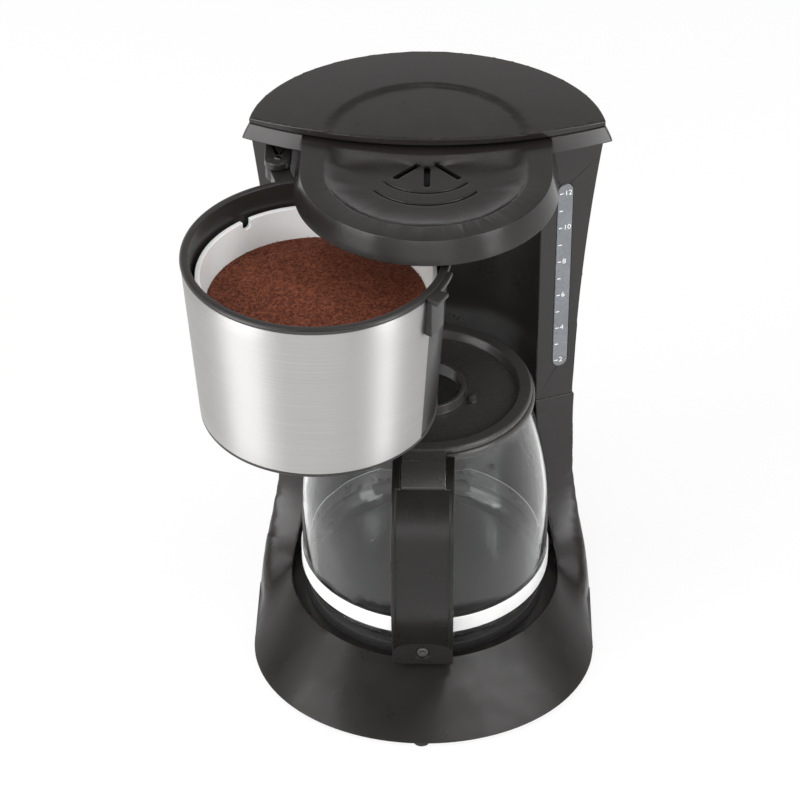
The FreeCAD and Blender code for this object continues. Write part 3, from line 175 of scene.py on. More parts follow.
def bright_metal(name, colour, rough, metal=1.0):
    finish = Finish(name, Metallic=metal)
    fog = finish.grain(220, 4)
    dull = tuple(c * 0.97 for c in colour)
    finish.feed("Base Color", finish.tint(fog, (0.3, dull), (0.7, colour)))
    finish.feed("Roughness", finish.between(fog, max(0.02, rough - 0.06), rough + 0.06))
    finish.feed("Normal", finish.relief(finish.grain(900, 3), 0.04, 0.02 * MM))
    return finish.material


def clear_glass(name):
    """Blown glass, very slightly wavy, with a breath of fog."""
    finish = Finish(name, Base_Color=(0.97, 0.985, 0.98, 1), Transmission_Weight=1.0, IOR=1.38)
    finish.feed("Roughness", finish.between(finish.grain(60, 4), 0.0, 0.025, 0.45, 0.8))
    finish.feed("Normal", finish.relief(finish.grain(26, 2), 0.06, 0.4 * MM))
    return finish.material


def frosted_window(name):
    """Milky clear strip, its tone varying a little at random."""
    finish = Finish(name, IOR=1.49, Coat_Weight=0.4, Coat_Roughness=0.12)
    cloud = finish.grain(70, 4)
    finish.feed("Base Color", finish.tint(cloud, (0.3, (0.135, 0.143, 0.156)), (0.7, (0.17, 0.18, 0.194))))
    finish.feed("Roughness", finish.between(finish.grain(300, 3), 0.22, 0.34))
    finish.feed("Normal", finish.relief(finish.grain(1200, 2), 0.05, 0.02 * MM))
    return finish.material


def white_cup(name):
    """Thin white moulding that lets a little light through."""
    finish = Finish(name, Subsurface_Weight=0.25, Subsurface_Scale=2 * MM)
    cloud = finish.grain(40, 4)
    finish.feed("Base Color", finish.tint(cloud, (0.3, (0.82, 0.82, 0.81)), (0.7, (0.88, 0.88, 0.87))))
    finish.feed("Roughness", finish.between(finish.grain(400, 3), 0.36, 0.5))
    finish.feed("Normal", finish.relief(finish.grain(2400, 2), 0.06, 0.02 * MM))
    return finish.material


def ground_coffee(name):
    """Loose reddish brown grounds: each cell has its own roast."""
    finish = Finish(name, Specular_IOR_Level=0.25)
    roast = finish.cells(900)
    parts = finish.nodes.new("ShaderNodeSeparateColor")
    finish.links.new(roast.outputs["Color"], parts.inputs["Color"])
    stops = ((0.0, (0.062, 0.017, 0.009)), (0.5, (0.125, 0.034, 0.0165)), (1.0, (0.19, 0.056, 0.027)))
    finish.feed("Base Color", finish.tint(parts.outputs["Red"], *stops))
    finish.feed("Roughness", finish.between(finish.grain(800, 3), 0.7, 0.95))
    finish.feed("Normal", finish.relief(finish.grain(1500, 4), 0.5, 0.3 * MM))
    return finish.material


def soft_rubber(name, colour, rough):
    finish = Finish(name, Specular_IOR_Level=0.35)
    bloom = finish.grain(90, 5)
    pale = tuple(min(1, c * 1.25) for c in colour)
    finish.feed("Base Color", finish.tint(bloom, (0.3, colour), (0.75, pale)))
    finish.feed("Roughness", finish.between(finish.grain(500, 3), rough - 0.07, rough + 0.07))
    finish.feed("Normal", finish.relief(finish.grain(1800, 3), 0.15, 0.05 * MM))
    return finish.material


def scale_ink(name):
    finish = Finish(name)
    wear = finish.grain(500, 3)
    finish.feed("Base Color", finish.tint(wear, (0.3, (0.74, 0.75, 0.76)), (0.6, (0.86, 0.87, 0.88))))
    finish.feed("Roughness", finish.between(wear, 0.45, 0.6))
    return finish.material


SHELL = moulded_plastic("shell_plastic", (0.0158, 0.0142, 0.0132), 0.31)
LID_SHELL = moulded_plastic("lid_plastic", (0.0128, 0.0108, 0.0098), 0.23)
# Darker copy of the black shell plastic: painted shade that holds down the front light on the jug handle.
HANDLE_SHELL_PAINTED_SHADE = moulded_plastic("handle_plastic_painted_shade", (0.0110, 0.0102, 0.0096), 0.30, shine=0.24)
# Lighter copy of the black shell plastic: painted fill light for the jug lid and collar, which sit in the
# basket's shade.
JUG_SHELL_PAINTED_FILL = moulded_plastic("jug_lid_plastic_painted_fill", (0.0480, 0.0450, 0.0430), 0.26)
INNER = moulded_plastic("inner_plastic", (0.045, 0.045, 0.045), 0.5)
STEEL = brushed_steel("wrap_steel")
BRIGHT = bright_metal("bright_steel", (0.86, 0.86, 0.86), 0.16)
BAND = bright_metal("band_steel", (0.90, 0.895, 0.89), 0.36, 0.2)
# Dark steel colour for the band's inner face: a painted reflection of the dark jug behind the glass.
BAND_INSIDE_PAINTED_REFLECTION = bright_metal("band_inside_painted_reflection", (0.10, 0.097, 0.095), 0.30, 0.6)
SCREW_METAL = bright_metal("screw_steel", (0.16, 0.155, 0.15), 0.34)
CAST = bright_metal("cast_metal", (0.62, 0.62, 0.63), 0.45)
BRASS = bright_metal("fuse_brass", (0.75, 0.6, 0.3), 0.3)
GLASS = clear_glass("jug_glass")
WINDOW_CLEAR = frosted_window("window_strip")
WHITE = white_cup("filter_plastic")
COFFEE = ground_coffee("coffee")
RUBBER = soft_rubber("black_rubber", (0.015, 0.015, 0.015), 0.7)
SILICONE = soft_rubber("milky_silicone", (0.62, 0.62, 0.6), 0.5)
SLEEVE = soft_rubber("wire_sleeve", (0.5, 0.48, 0.4), 0.6)
PLATE_COAT = bright_metal("plate_coat", (0.075, 0.073, 0.072), 0.34, 0.5)
INK = scale_ink("scale_ink")


def show(piece, body, *nodes, slot=None):
    """Hand a finished piece to its body, in place of the solids it stands for."""
    if piece.name not in bpy.context.scene.collection.objects:
        bpy.context.scene.collection.objects.link(piece)
    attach(piece, body)
    if nodes:
        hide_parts(*nodes)
    slot or SLOT[nodes[0]]
    return piece


@contextmanager
def opened(mesh):
    """The mesh open for changes, written back at the end."""
    work = bmesh.new()
    work.from_mesh(mesh)
    yield work
    work.to_mesh(mesh)
    work.free()


def smooth_faces(mesh, degrees=32):
    mesh.polygons.foreach_set("use_smooth", [True] * len(mesh.polygons))
    mesh.set_sharp_from_angle(angle=math.radians(degrees))


def moulded_copy(node, edge, finish, reshape=None):
    """The solid with its edges softened, as they come out of a mould."""
    mesh = NODES[node].data.copy()
    with opened(mesh) as work:
        bmesh.ops.remove_doubles(work, verts=work.verts, dist=MERGE)
    mesh.materials.clear()
    mesh.materials.append(finish)
    if reshape:
        reshape(mesh)
    smooth_faces(mesh, SHADE_DEG)
    piece = bpy.data.objects.new(node + "_moulded", mesh)
    bpy.context.scene.collection.objects.link(piece)
    bevel = piece.modifiers.new("soft_edge", "BEVEL")
    bevel.width = edge
    bevel.segments = 2
    bevel.limit_method = "ANGLE"
    bevel.angle_limit = math.radians(EDGE_DEG)
    bevel.use_clamp_overlap = False
    shade = piece.modifiers.new("flat_faces_stay_flat", "WEIGHTED_NORMAL")
    shade.keep_sharp = True
    return show(piece, BODY[node], node)


def thin(face):
    """A sliver, whose normal can't be trusted."""
    return face.calc_area() < SLIVER


def sliced(work, wanted, axis, places):
    """Cut the wanted faces across one axis, so that they can follow a flowing form."""
    across = Vector([float(i == axis) for i in range(3)])
    for place in places:
        work.normal_update()
        faces = [face for face in work.faces if wanted(face)]
        corners = dict.fromkeys(vertex for face in faces for vertex in face.verts)
        edges = dict.fromkeys(edge for face in faces for edge in face.edges)
        cut = [*corners, *edges, *faces]
        bmesh.ops.bisect_plane(work, geom=cut, dist=CUT_SNAP, plane_co=across * place, plane_no=across)


def relaxed(work, wanted, pull, rounds, inward=0.06):
    """Let the wanted faces flow into one another: out of hollows freely, off edges slowly."""
    skin = dict.fromkeys(vertex for face in work.faces if wanted(face) for vertex in face.verts)
    bmesh.ops.remove_doubles(work, verts=list(skin), dist=CLOSE_POINTS)
    work.normal_update()
    work.verts.index_update()
    free = [vertex for vertex in work.verts if all(wanted(face) for face in vertex.link_faces)]
    own = np.array([vertex.index for vertex in free])
    around = [[edge.other_vert(vertex).index for edge in vertex.link_edges] for vertex in free]
    count = np.array([len(ring) for ring in around])
    starts = np.concatenate(([0], np.cumsum(count)[:-1]))
    around = np.concatenate([np.array(ring) for ring in around])
    place = np.array([vertex.co for vertex in work.verts])
    out = np.array([vertex.normal for vertex in free])
    share = np.array([pull(vertex.co) for vertex in free]) / 2
    for _ in range(rounds):
        move = np.add.reduceat(place[around], starts) / count[:, None] - place[own]
        rise = (move * out).sum(1)
        place[own] += move * np.where(rise > 0, share, share * inward)[:, None]
    for vertex, spot in zip(free, place[own]):
        vertex.co = spot


def steps(low, high, step):
    """Even places from low to high, given in millimetres."""
    return [(low + i * step) * MM for i in range(int((high - low) / step) + 1)]


def fade(value, none, full):
    """0 at none, 1 at full, in millimetres, with soft ends."""
    share = min(1.0, max(0.0, (value / MM - none) / (full - none)))
    return share * share * (3 - 2 * share)


def flowing_flanks(mesh):
    """Blend the two columns into the slope of the stand; sizes in millimetres from the jug's axis."""
    front, rear, foot, top = -66, 52, 4, 96
    niche_half, recess_r = 54, 72
    blend_end, blend_full = 92, 44
    faces_out = (0.74, -0.51, 0.44)

    def on_flank(face):
        spot = face.calc_center_median()
        across, along = abs(spot.x - JUG.x), spot.y - JUG.y
        inside = front * MM < along < rear * MM and foot * MM < spot.z < top * MM
        if not inside or across < niche_half * MM or math.hypot(across, along) < recess_r * MM:
            return False
        outward = Vector(faces_out)
        outward.x = math.copysign(outward.x, spot.x - JUG.x)
        return face.normal.dot(outward) > 0.25 or thin(face)

    def pull(spot):
        along = spot.y - JUG.y
        upright = fade(spot.z, foot, foot + 5) * fade(spot.z, blend_end, blend_full)
        return upright * fade(along, front, front + 16) * fade(along, rear, rear - 14)

    with opened(mesh) as work:
        sliced(work, on_flank, 2, steps(6.2, 95, 3.0))
        sliced(work, on_flank, 1, [JUG.y + place for place in steps(-65, 51, 4.0)])
        for side in (-1, 1):
            sliced(work, on_flank, 0, [JUG.x + side * place for place in steps(55, 95, 4.0)])
        relaxed(work, on_flank, pull, 400)


def flowing_dish(mesh):
    """Round the floor of the brew head's dish up into its sides."""
    floor = 286.3 * MM
    dish_r = 53.6 * MM

    def in_dish(face):
        spot = face.calc_center_median()
        if spot.z < floor or not (face.normal.z > 0.3 or thin(face)):
            return False
        across, along = spot.x - JUG.x, spot.y - JUG.y
        reach = abs(across) if along > 0 else math.hypot(across, along)
        return reach < dish_r

    with opened(mesh) as work:
        for axis in (0, 1):
            sliced(work, in_dish, axis, [JUG[axis] + place for place in steps(-54, 54, 2.5)])
        relaxed(work, in_dish, lambda spot: 1.0, 60)


def soft_scoop(mesh):
    """Round the edge of the shallow scoop in the lid."""
    scoop = JUG + Vector((0, 19 * MM, 0))
    inner_r, outer_r = 40 * MM, 66 * MM

    def on_top(face):
        return face.normal.z > 0.5 or thin(face)

    def near_edge(face):
        spot = face.calc_center_median()
        return on_top(face) and inner_r < math.hypot(spot.x - scoop.x, spot.y - scoop.y) < outer_r

    with opened(mesh) as work:
        for axis in (0, 1):
            sliced(work, on_top, axis, [scoop[axis] + place for place in steps(-90, 90, 9.0)])
            sliced(work, near_edge, axis, [scoop[axis] + place for place in steps(-65, 65, 2.0)])
        relaxed(work, near_edge, lambda spot: 1.0, 16, inward=1.0)


def dark_inside(mesh):
    """The band's inner face, seen only through the glass, gets a dark colour: a painted reflection of the
    dark jug.
    """
    mesh.materials.append(BAND_INSIDE_PAINTED_REFLECTION)
    for face in mesh.polygons:
        out = Vector((face.center.x - JUG.x, face.center.y - JUG.y, 0))
        if out.dot(face.normal) < 0:
            face.material_index = 1


def dress(finish, *nodes):
    """Give solids that keep their own shape their finish."""
    for node in nodes:
        mesh = NODES[node].data
        mesh.materials.clear()
        mesh.materials.append(finish)


SIZE_SOCKETS = {float: "NodeSocketFloat", int: "NodeSocketInt", str: "NodeSocketMaterial"}


def node_tree(name, sizes):
    """Empty geometry tree with its named inputs; a text value asks for a material."""
    tree = bpy.data.node_groups.new(name, "GeometryNodeTree")
    tree.interface.new_socket("Geometry", in_out="INPUT", socket_type="NodeSocketGeometry")
    tree.interface.new_socket("Geometry", in_out="OUTPUT", socket_type="NodeSocketGeometry")
    for label, value in sizes.items():
        socket = tree.interface.new_socket(label, in_out="INPUT", socket_type=SIZE_SOCKETS[type(value)])
        if not isinstance(value, str):
            socket.default_value = value
    return tree, tree.nodes.new("NodeGroupInput").outputs, tree.nodes.new("NodeGroupOutput").inputs


def wire(tree, kind, settings=None, **plugs):
    """Add a node and plug outputs or values into its sockets by name, or by number as _0, _1."""
    step = tree.nodes.new(kind)
    for label, value in (settings or {}).items():
        setattr(step, label, value)
    for label, value in plugs.items():
        socket = step.inputs[int(label[1:])] if label[1:].isdigit() else step.inputs[label.replace("_", " ")]
        if isinstance(value, bpy.types.NodeSocket):
            tree.links.new(value, socket)
        else:
            socket.default_value = value
    return step


def grown(name, tree, values, base=None):
    """Run a tree on a base mesh and keep the result as a plain mesh."""
    piece = bpy.data.objects.new(name, base or bpy.data.meshes.new(name))
    bpy.context.scene.collection.objects.link(piece)
    modifier = piece.modifiers.new(name, "NODES")
    modifier.node_group = tree
    for item in tree.interface.items_tree:
        if item.in_out == "INPUT" and item.name in values:
            modifier[item.identifier] = values[item.name]
    mesh = bpy.data.meshes.new_from_object(piece.evaluated_get(bpy.context.evaluated_depsgraph_get()))
    piece.modifiers.clear()
    piece.data = mesh
    return piece


def turned(name, outline, around, finish):
    """Closed body of revolution from (radius, height) points, lowest on the axis first."""
    work = bmesh.new()
    rings = []
    for radius, height in outline:
        turns = [2 * math.pi * i / around for i in range(around if radius > 1e-7 else 1)]
        rings.append([work.verts.new((radius * math.cos(a), radius * math.sin(a), height)) for a in turns])
    for below, above in zip(rings, rings[1:]):
        for i in range(around):
            j = (i + 1) % around
            low = [below[k % len(below)] for k in (i, j)]
            high = [above[k % len(above)] for k in (j, i)]
            work.faces.new(list(dict.fromkeys(low + high)))
    bmesh.ops.recalc_face_normals(work, faces=work.faces)
    mesh = bpy.data.meshes.new(name)
    work.to_mesh(mesh)
    work.free()
    mesh.materials.append(finish)
    smooth_faces(mesh)
    return mesh


def steel_wrap():
    """Rolled steel sheet round the front of the basket."""
    sizes = {"Low radius": 0.06, "High radius": 0.07, "Low": 0.18, "Height": 0.09}
    sizes.update({"Start": 0.0, "Sweep": 3.0, "Along": 160, "Up": 9, "Steel": "material"})
    tree, size, result = node_tree("steel_wrap", sizes)
    grid = wire(
        tree, "GeometryNodeMeshGrid", Size_X=1.0, Size_Y=1.0,
        Vertices_X=size["Along"], Vertices_Y=size["Up"])
    place = wire(tree, "ShaderNodeSeparateXYZ", Vector=wire(tree, "GeometryNodeInputPosition").outputs[0])

    def worked_out(operation, a, b=0.0):
        return wire(tree, "ShaderNodeMath", {"operation": operation}, _0=a, _1=b).outputs[0]

    along = worked_out("ADD", place.outputs["X"], 0.5)
    up = worked_out("ADD", place.outputs["Y"], 0.5)
    turn = worked_out("ADD", size["Start"], worked_out("MULTIPLY", along, size["Sweep"]))
    flare = worked_out("MULTIPLY", up, worked_out("SUBTRACT", size["High radius"], size["Low radius"]))
    radius = worked_out("ADD", size["Low radius"], flare)
    height = worked_out("MULTIPLY", up, size["Height"])
    rolled = wire(
        tree, "ShaderNodeCombineXYZ",
        X=worked_out("MULTIPLY", radius, worked_out("COSINE", turn)),
        Y=worked_out("MULTIPLY", radius, worked_out("SINE", turn)),
        Z=worked_out("ADD", size["Low"], height))
    arc = worked_out("MULTIPLY", worked_out("MULTIPLY", along, size["Sweep"]), size["High radius"])
    brush = wire(tree, "ShaderNodeCombineXYZ", X=height, Y=arc)
    store = wire(
        tree, "GeometryNodeStoreNamedAttribute", {"data_type": "FLOAT2", "domain": "CORNER"},
        Geometry=grid.outputs["Mesh"], Name="Brush", Value=brush.outputs[0])
    bent = wire(tree, "GeometryNodeSetPosition", Geometry=store.outputs[0], Position=rolled.outputs[0])
    smooth = wire(tree, "GeometryNodeSetShadeSmooth", Geometry=bent.outputs[0])
    whole = wire(tree, "GeometryNodeRealizeInstances", Geometry=smooth.outputs[0])
    coated = wire(tree, "GeometryNodeSetMaterial", Geometry=whole.outputs[0], Material=size["Steel"])
    tree.links.new(coated.outputs[0], result[0])
    low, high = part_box("basket_wrap")
    inset = 0.1 * MM
    values = {
        "Low radius": 62.14 * MM, "High radius": 68.3 * MM,
        "Low": low.z + inset, "Height": high.z - low.z - 2 * inset,
        "Start": math.radians(115), "Sweep": math.radians(215), "Steel": STEEL,
    }
    wrap = grown("steel_wrap", tree, values)
    wrap.data.transform(Matrix.Translation((BASKET.x, BASKET.y, 0)))
    sheet = wrap.modifiers.new("sheet", "SOLIDIFY")
    sheet.thickness = 0.65 * MM
    sheet.offset = -1
    rim = wrap.modifiers.new("rim", "BEVEL")
    rim.width = 0.2 * MM
    rim.segments = 2
    rim.limit_method = "ANGLE"
    return show(wrap, "basket", "basket_wrap")


def coffee_bed():
    """Mounded bed of grounds, a little uneven, as a closed body."""
    low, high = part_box("coffee_grounds")
    reach = (high.x - low.x) / 2
    mound = 4.4 * MM
    floor_share, roundness = 0.86, 2.2
    top = high.z - mound
    rings = 34
    outline = [(0.0, low.z), (reach * floor_share, low.z), (reach - 0.1 * MM, top - 0.4 * MM)]
    for i in range(1, rings + 1):
        share = 1 - i / rings
        outline.append((share * (reach - 0.3 * MM), top + mound * (1 - share ** roundness)))
    mesh = turned("coffee_bed", outline, 128, COFFEE)
    mesh.transform(Matrix.Translation((BASKET.x, BASKET.y, 0)))
    settled = 0.7
    for vertex in mesh.vertices:
        if vertex.co.z > top - 0.2 * MM:
            coarse = noise.noise(vertex.co * 60) * 1.3
            fine = noise.noise(vertex.co * 260) * 0.55
            vertex.co.z += (coarse + fine - settled) * MM
    return mesh


def coffee():
    """Grounds scattered over the bed."""
    sizes = {"Grain": 0.001, "Grains per area": 1.0, "Seed": 1, "Coffee": "material"}
    tree, size, result = node_tree("coffee_grains", sizes)
    up = wire(tree, "ShaderNodeSeparateXYZ", Vector=wire(tree, "GeometryNodeInputNormal").outputs[0])
    top = wire(tree, "FunctionNodeCompare", {"operation": "GREATER_THAN"}, _0=up.outputs["Z"], _1=0.4)
    spots = wire(
        tree, "GeometryNodeDistributePointsOnFaces", Mesh=size["Geometry"], Selection=top.outputs[0],
        Density=size["Grains per area"], Seed=size["Seed"])
    lump = wire(tree, "GeometryNodeMeshIcoSphere", Radius=0.5, Subdivisions=1)

    def drawn(least, most):
        kind = {"data_type": "FLOAT_VECTOR"}
        return wire(tree, "FunctionNodeRandomValue", kind, _0=least, _1=most, Seed=size["Seed"])

    tumble = drawn((0, 0, 0), (6.28, 6.28, 6.28))
    shape = drawn((0.55, 0.4, 0.35), (1.6, 1.0, 0.9))
    grain = wire(
        tree, "ShaderNodeVectorMath", {"operation": "SCALE"}, _0=shape.outputs[0], Scale=size["Grain"])
    strewn = wire(
        tree, "GeometryNodeInstanceOnPoints", Points=spots.outputs["Points"], Instance=lump.outputs["Mesh"],
        Rotation=tumble.outputs[0], Scale=grain.outputs[0])
    heap = wire(tree, "GeometryNodeJoinGeometry")
    tree.links.new(strewn.outputs[0], heap.inputs[0])
    tree.links.new(size["Geometry"], heap.inputs[0])
    whole = wire(tree, "GeometryNodeRealizeInstances", Geometry=heap.outputs[0])
    coated = wire(tree, "GeometryNodeSetMaterial", Geometry=whole.outputs[0], Material=size["Coffee"])
    tree.links.new(coated.outputs[0], result[0])
    values = {"Grain": 0.9 * MM, "Grains per area": 880000.0, "Seed": 4, "Coffee": COFFEE}
    return show(grown("coffee_heap", tree, values, coffee_bed()), "filter", "coffee_grounds")


def on_window(along, height, out):
    """Place on the level window: along its face, up, and out from it."""
    face = Vector((math.sin(COLUMN_TURN), -math.cos(COLUMN_TURN), 0))
    across = Vector((math.cos(COLUMN_TURN), math.sin(COLUMN_TURN), 0))
    half_deep = 1.7 * MM
    spot = Vector((WINDOW.x, WINDOW.y, 0)) + face * (half_deep + out) + across * along
    turn = Matrix.Rotation(COLUMN_TURN, 4, "Z") @ Matrix.Rotation(math.pi / 2, 4, "X")
    return Matrix.Translation(spot + Vector((0, 0, height))) @ turn


MARK_LOW = 138.7 * MM
MARK_STEP = 11.01 * MM
MARK_ALONG = -2.35 * MM
NUMBER_ALONG = -0.7 * MM
INK_OUT = 0.05 * MM


def level_marks():
    """Row of short strokes up the window."""
    sizes = {"Marks": 11, "Step": 0.011, "Long": 0.002, "Thick": 0.0005, "Deep": 0.0001, "Ink": "material"}
    tree, size, result = node_tree("level_marks", sizes)
    step = wire(tree, "ShaderNodeCombineXYZ", Y=size["Step"])
    row = wire(tree, "GeometryNodeMeshLine", Count=size["Marks"], Offset=step.outputs[0])
    stroke_size = wire(tree, "ShaderNodeCombineXYZ", X=size["Long"], Y=size["Thick"], Z=size["Deep"])
    stroke = wire(tree, "GeometryNodeMeshCube", Size=stroke_size.outputs[0])
    strokes = wire(
        tree, "GeometryNodeInstanceOnPoints", Points=row.outputs["Mesh"], Instance=stroke.outputs["Mesh"])
    whole = wire(tree, "GeometryNodeRealizeInstances", Geometry=strokes.outputs[0])
    coated = wire(tree, "GeometryNodeSetMaterial", Geometry=whole.outputs[0], Material=size["Ink"])
    tree.links.new(coated.outputs[0], result[0])
    values = {"Step": MARK_STEP, "Long": 2.0 * MM, "Thick": 0.55 * MM, "Deep": 0.12 * MM, "Ink": INK}
    marks = grown("level_marks", tree, values)
    marks.data.transform(on_window(MARK_ALONG, MARK_LOW, INK_OUT))
    return show(marks, "stand", slot="window_clear")


def level_numbers():
    """Cup numbers beside every second stroke."""
    work = bmesh.new()
    for cups in range(2, 14, 2):
        curve = bpy.data.curves.new("cups", "FONT")
        curve.body = str(cups)
        curve.size = 4.4 * MM
        curve.extrude = 0.06 * MM
        curve.align_y = "CENTER"
        holder = bpy.data.objects.new("cups", curve)
        bpy.context.scene.collection.objects.link(holder)
        figure = bpy.data.meshes.new_from_object(holder.evaluated_get(bpy.context.evaluated_depsgraph_get()))
        figure.transform(on_window(NUMBER_ALONG, MARK_LOW + (cups - 2) * MARK_STEP, INK_OUT))
        work.from_mesh(figure)
        bpy.data.objects.remove(holder)
    mesh = bpy.data.meshes.new("level_numbers")
    work.to_mesh(mesh)
    work.free()
    mesh.materials.append(INK)
    return show(bpy.data.objects.new("level_numbers", mesh), "stand", slot="window_clear")


def soften_solids():
    """Pieces that show: each is its solid with soft edges, and three flow or round off as well."""
    moulded_copy("base_housing", 0.7 * MM, SHELL, flowing_flanks)
    for node, edge in (("tower_housing", 0.7), ("basket_bowl", 0.6), ("basket_latch", 0.6)):
        moulded_copy(node, edge * MM, SHELL)
    moulded_copy("head_cover", 0.3 * MM, LID_SHELL, flowing_dish)
    moulded_copy("tank_lid", 0.5 * MM, LID_SHELL, soft_scoop)
    moulded_copy("jug_handle", 0.6 * MM, HANDLE_SHELL_PAINTED_SHADE)
    for node, edge in (("jug_lid", 0.4), ("jug_collar", 0.4)):
        moulded_copy(node, edge * MM, JUG_SHELL_PAINTED_FILL)
    for node, finish in (("filter_insert", WHITE), ("level_window", WINDOW_CLEAR)):
        moulded_copy(node, 0.3 * MM, finish)
    # The band's inner faces get a painted reflection of the dark jug.
    moulded_copy("jug_band", 0.3 * MM, BAND, dark_inside)
    small = {"rubber_feet": RUBBER, "switch_housing": SHELL, "switch_rocker": JUG_SHELL_PAINTED_FILL, "cord_gland": SHELL}
    for node, finish in small.items():
        moulded_copy(node, 0.4 * MM, finish)
    moulded_copy("jug_glass", 0.3 * MM, GLASS)
    moulded_copy("handle_screw", 0.15 * MM, SCREW_METAL)


def dress_solids():
    """Hidden pieces, and small ones that keep the solid's own shape."""
    dress(INNER, "base_plate", "water_tank", "spray_pan", "spray_pipe", "check_valve", "hose_clips")
    dress(INNER, "terminal_block", "valve_plunger", "valve_foot")
    dress(BRIGHT, "lid_hinge_pins", "basket_hinge_pin", "jug_lid_pin", "valve_spring")
    dress(SCREW_METAL, "base_screws", "tower_screws", "head_screws", "clamp_screws")
    dress(RUBBER, "plate_seal")
    dress(SILICONE, "riser_hose", "inlet_hose", "valve_seal")
    dress(PLATE_COAT, "hot_plate")
    dress(CAST, "heater_casting", "water_tube", "heating_element", "heater_clamp", "thermostat")
    dress(BRASS, "thermal_fuse")
    dress(SLEEVE, "wiring")


def studio_floor():
    """Pale floor that shows white to the camera and still takes the shadow."""
    finish = bpy.data.materials.new("studio_floor")
    finish.use_nodes = True
    nodes, links = finish.node_tree.nodes, finish.node_tree.links
    paint = nodes["Principled BSDF"]
    paint.inputs["Base Color"].default_value = (0.86, 0.86, 0.86, 1)
    paint.inputs["Roughness"].default_value = 0.9
    glow = nodes.new("ShaderNodeEmission")
    seen = nodes.new("ShaderNodeLightPath")
    mix = nodes.new("ShaderNodeMixShader")
    total = None
    for kind, share in (("Is Camera Ray", 0.85), ("Is Transmission Ray", 0.85), ("Is Glossy Ray", 0.5)):
        part = nodes.new("ShaderNodeMath")
        part.operation = "MULTIPLY_ADD"
        part.inputs[1].default_value = share
        part.inputs[2].default_value = 0.0
        part.use_clamp = True
        links.new(seen.outputs[kind], part.inputs[0])
        if total:
            links.new(total, part.inputs[2])
        total = part.outputs[0]
    links.new(total, mix.inputs["Fac"])
    links.new(paint.outputs[0], mix.inputs[1])
    links.new(glow.outputs[0], mix.inputs[2])
    links.new(mix.outputs[0], nodes["Material Output"].inputs["Surface"])
    half = 6.0
    mesh = bpy.data.meshes.new("studio_floor")
    corners = [(-half, -half, 0), (half, -half, 0), (half, half, 0), (-half, half, 0)]
    mesh.from_pydata(corners, [], [(0, 1, 2, 3)])
    mesh.materials.append(finish)
    floor = bpy.data.objects.new("studio_floor", mesh)
    bpy.context.scene.collection.objects.link(floor)


def studio_world():
    """White to the camera and through glass; reflections fade from a pale horizon to a dark ceiling."""
    world = bpy.data.worlds.new("studio")
    bpy.context.scene.world = world
    world.use_nodes = True
    nodes, links = world.node_tree.nodes, world.node_tree.links
    seen = nodes.new("ShaderNodeLightPath")
    clear = nodes.new("ShaderNodeMath")
    clear.operation = "MAXIMUM"
    links.new(seen.outputs["Is Camera Ray"], clear.inputs[0])
    links.new(seen.outputs["Is Transmission Ray"], clear.inputs[1])
    height = nodes.new("ShaderNodeSeparateXYZ")
    links.new(nodes.new("ShaderNodeTexCoord").outputs["Generated"], height.inputs[0])
    ceiling = nodes.new("ShaderNodeValToRGB")
    stops = ceiling.color_ramp.elements
    for position, grey in ((0.38, 0.95), (0.48, 0.72), (0.60, 0.20), (0.72, 0.06)):
        stop = stops.new(position)
        stop.color = (grey, grey, grey, 1)
    stops.remove(stops[0])
    stops.remove(stops[-1])
    links.new(height.outputs["Z"], ceiling.inputs["Fac"])
    mirrored = nodes.new("ShaderNodeMix")
    mirrored.inputs["A"].default_value = 0.42
    links.new(seen.outputs["Is Glossy Ray"], mirrored.inputs["Factor"])
    links.new(ceiling.outputs["Color"], mirrored.inputs["B"])
    level = nodes.new("ShaderNodeMix")
    level.inputs["B"].default_value = 1.0
    links.new(clear.outputs[0], level.inputs["Factor"])
    links.new(mirrored.outputs["Result"], level.inputs["A"])
    links.new(level.outputs["Result"], nodes["Background"].inputs["Strength"])
    nodes["Background"].inputs["Color"].default_value = (1, 1, 1, 1)


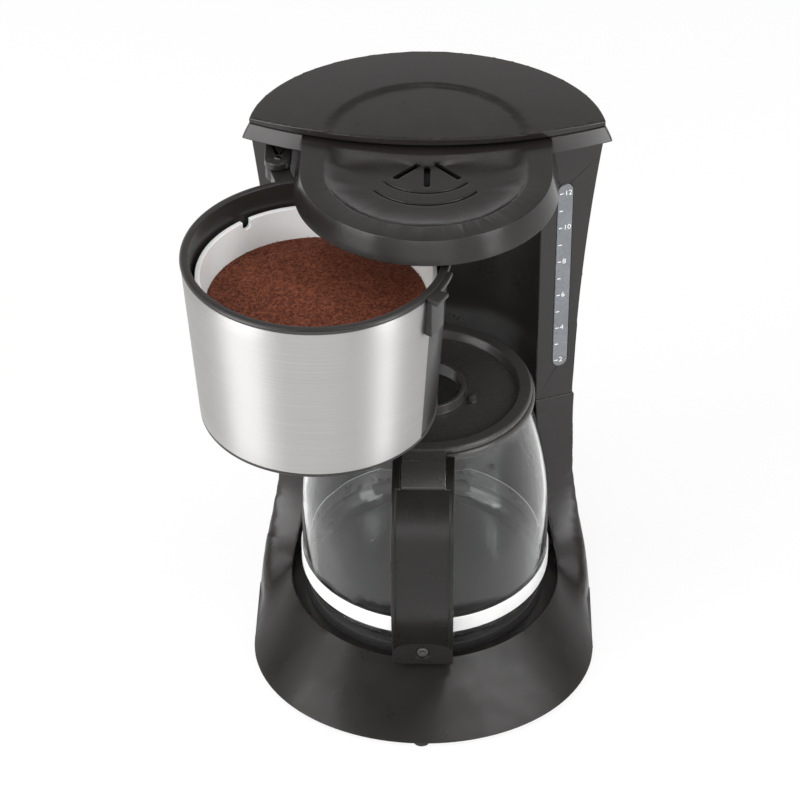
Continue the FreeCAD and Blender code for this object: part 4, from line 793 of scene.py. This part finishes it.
def soft_box(name, place, aim, width, height, power, mirrored=True):
    """Area lamp turned to its aim, in metres and watts, which shiny pieces may mirror."""
    lamp = bpy.data.lights.new(name, "AREA")
    lamp.shape = "RECTANGLE"
    lamp.size = width
    lamp.size_y = height
    lamp.energy = power
    holder = bpy.data.objects.new(name, lamp)
    holder.location = place
    holder.visible_glossy = mirrored
    holder.rotation_mode = "QUATERNION"
    holder.rotation_quaternion = (Vector(aim) - Vector(place)).to_track_quat("-Z", "Y")
    bpy.context.scene.collection.objects.link(holder)


def studio_lamps():
    aim = (0, 0, 0.16)
    soft_box("left_box", (-1.20, -0.75, 0.90), aim, 1.0, 1.7, 26)
    soft_box("right_box", (1.22, -0.80, 0.90), aim, 0.40, 1.7, 15)
    soft_box("left_top", (-0.68, 0.22, 1.75), aim, 0.45, 0.9, 5)
    soft_box("right_top", (0.62, 0.22, 1.75), aim, 0.40, 0.9, 5)
    soft_box("back_top", (0, 0.95, 1.64), (0, 0.08, 0.29), 0.6, 0.25, 0.9)
    soft_box("front_box", (0.1, -2.2, 0.55), aim, 1.8, 0.5, 7)
    soft_box("front_fill", (-0.20, -1.60, 0.80), aim, 0.9, 0.6, 9, mirrored=False)


def photo_camera():
    """Camera of the photograph, fitted from the jug's axis, in millimetres."""
    from_jug = (15.50, -1302.24, 1135.16)
    aim_from_jug = (-13.76, 0, 140.85)
    jug = Vector((JUG.x, JUG.y, 0))
    place = jug + Vector(from_jug) * MM
    aim = jug + Vector(aim_from_jug) * MM
    back = (place - aim).normalized()
    right = Vector((0, 0, 1)).cross(back).normalized()
    up = back.cross(right)
    roll = math.radians(-0.17)
    across = right * math.cos(roll) + up * math.sin(roll)
    turn = Matrix((across, back.cross(across), back)).transposed()
    lens = bpy.data.cameras.new("photo_camera")
    lens.sensor_width = 36
    lens.lens = 135.69
    lens.clip_end = 50
    camera = bpy.data.objects.new("photo_camera", lens)
    camera.matrix_world = Matrix.Translation(place) @ turn.to_4x4()
    bpy.context.scene.collection.objects.link(camera)
    bpy.context.scene.camera = camera


photo_camera()
studio_world()
studio_lamps()
studio_floor()
bpy.context.scene.view_settings.view_transform = "Standard"

dress_solids()
soften_solids()
steel_wrap()
coffee()
level_marks()
level_numbers()
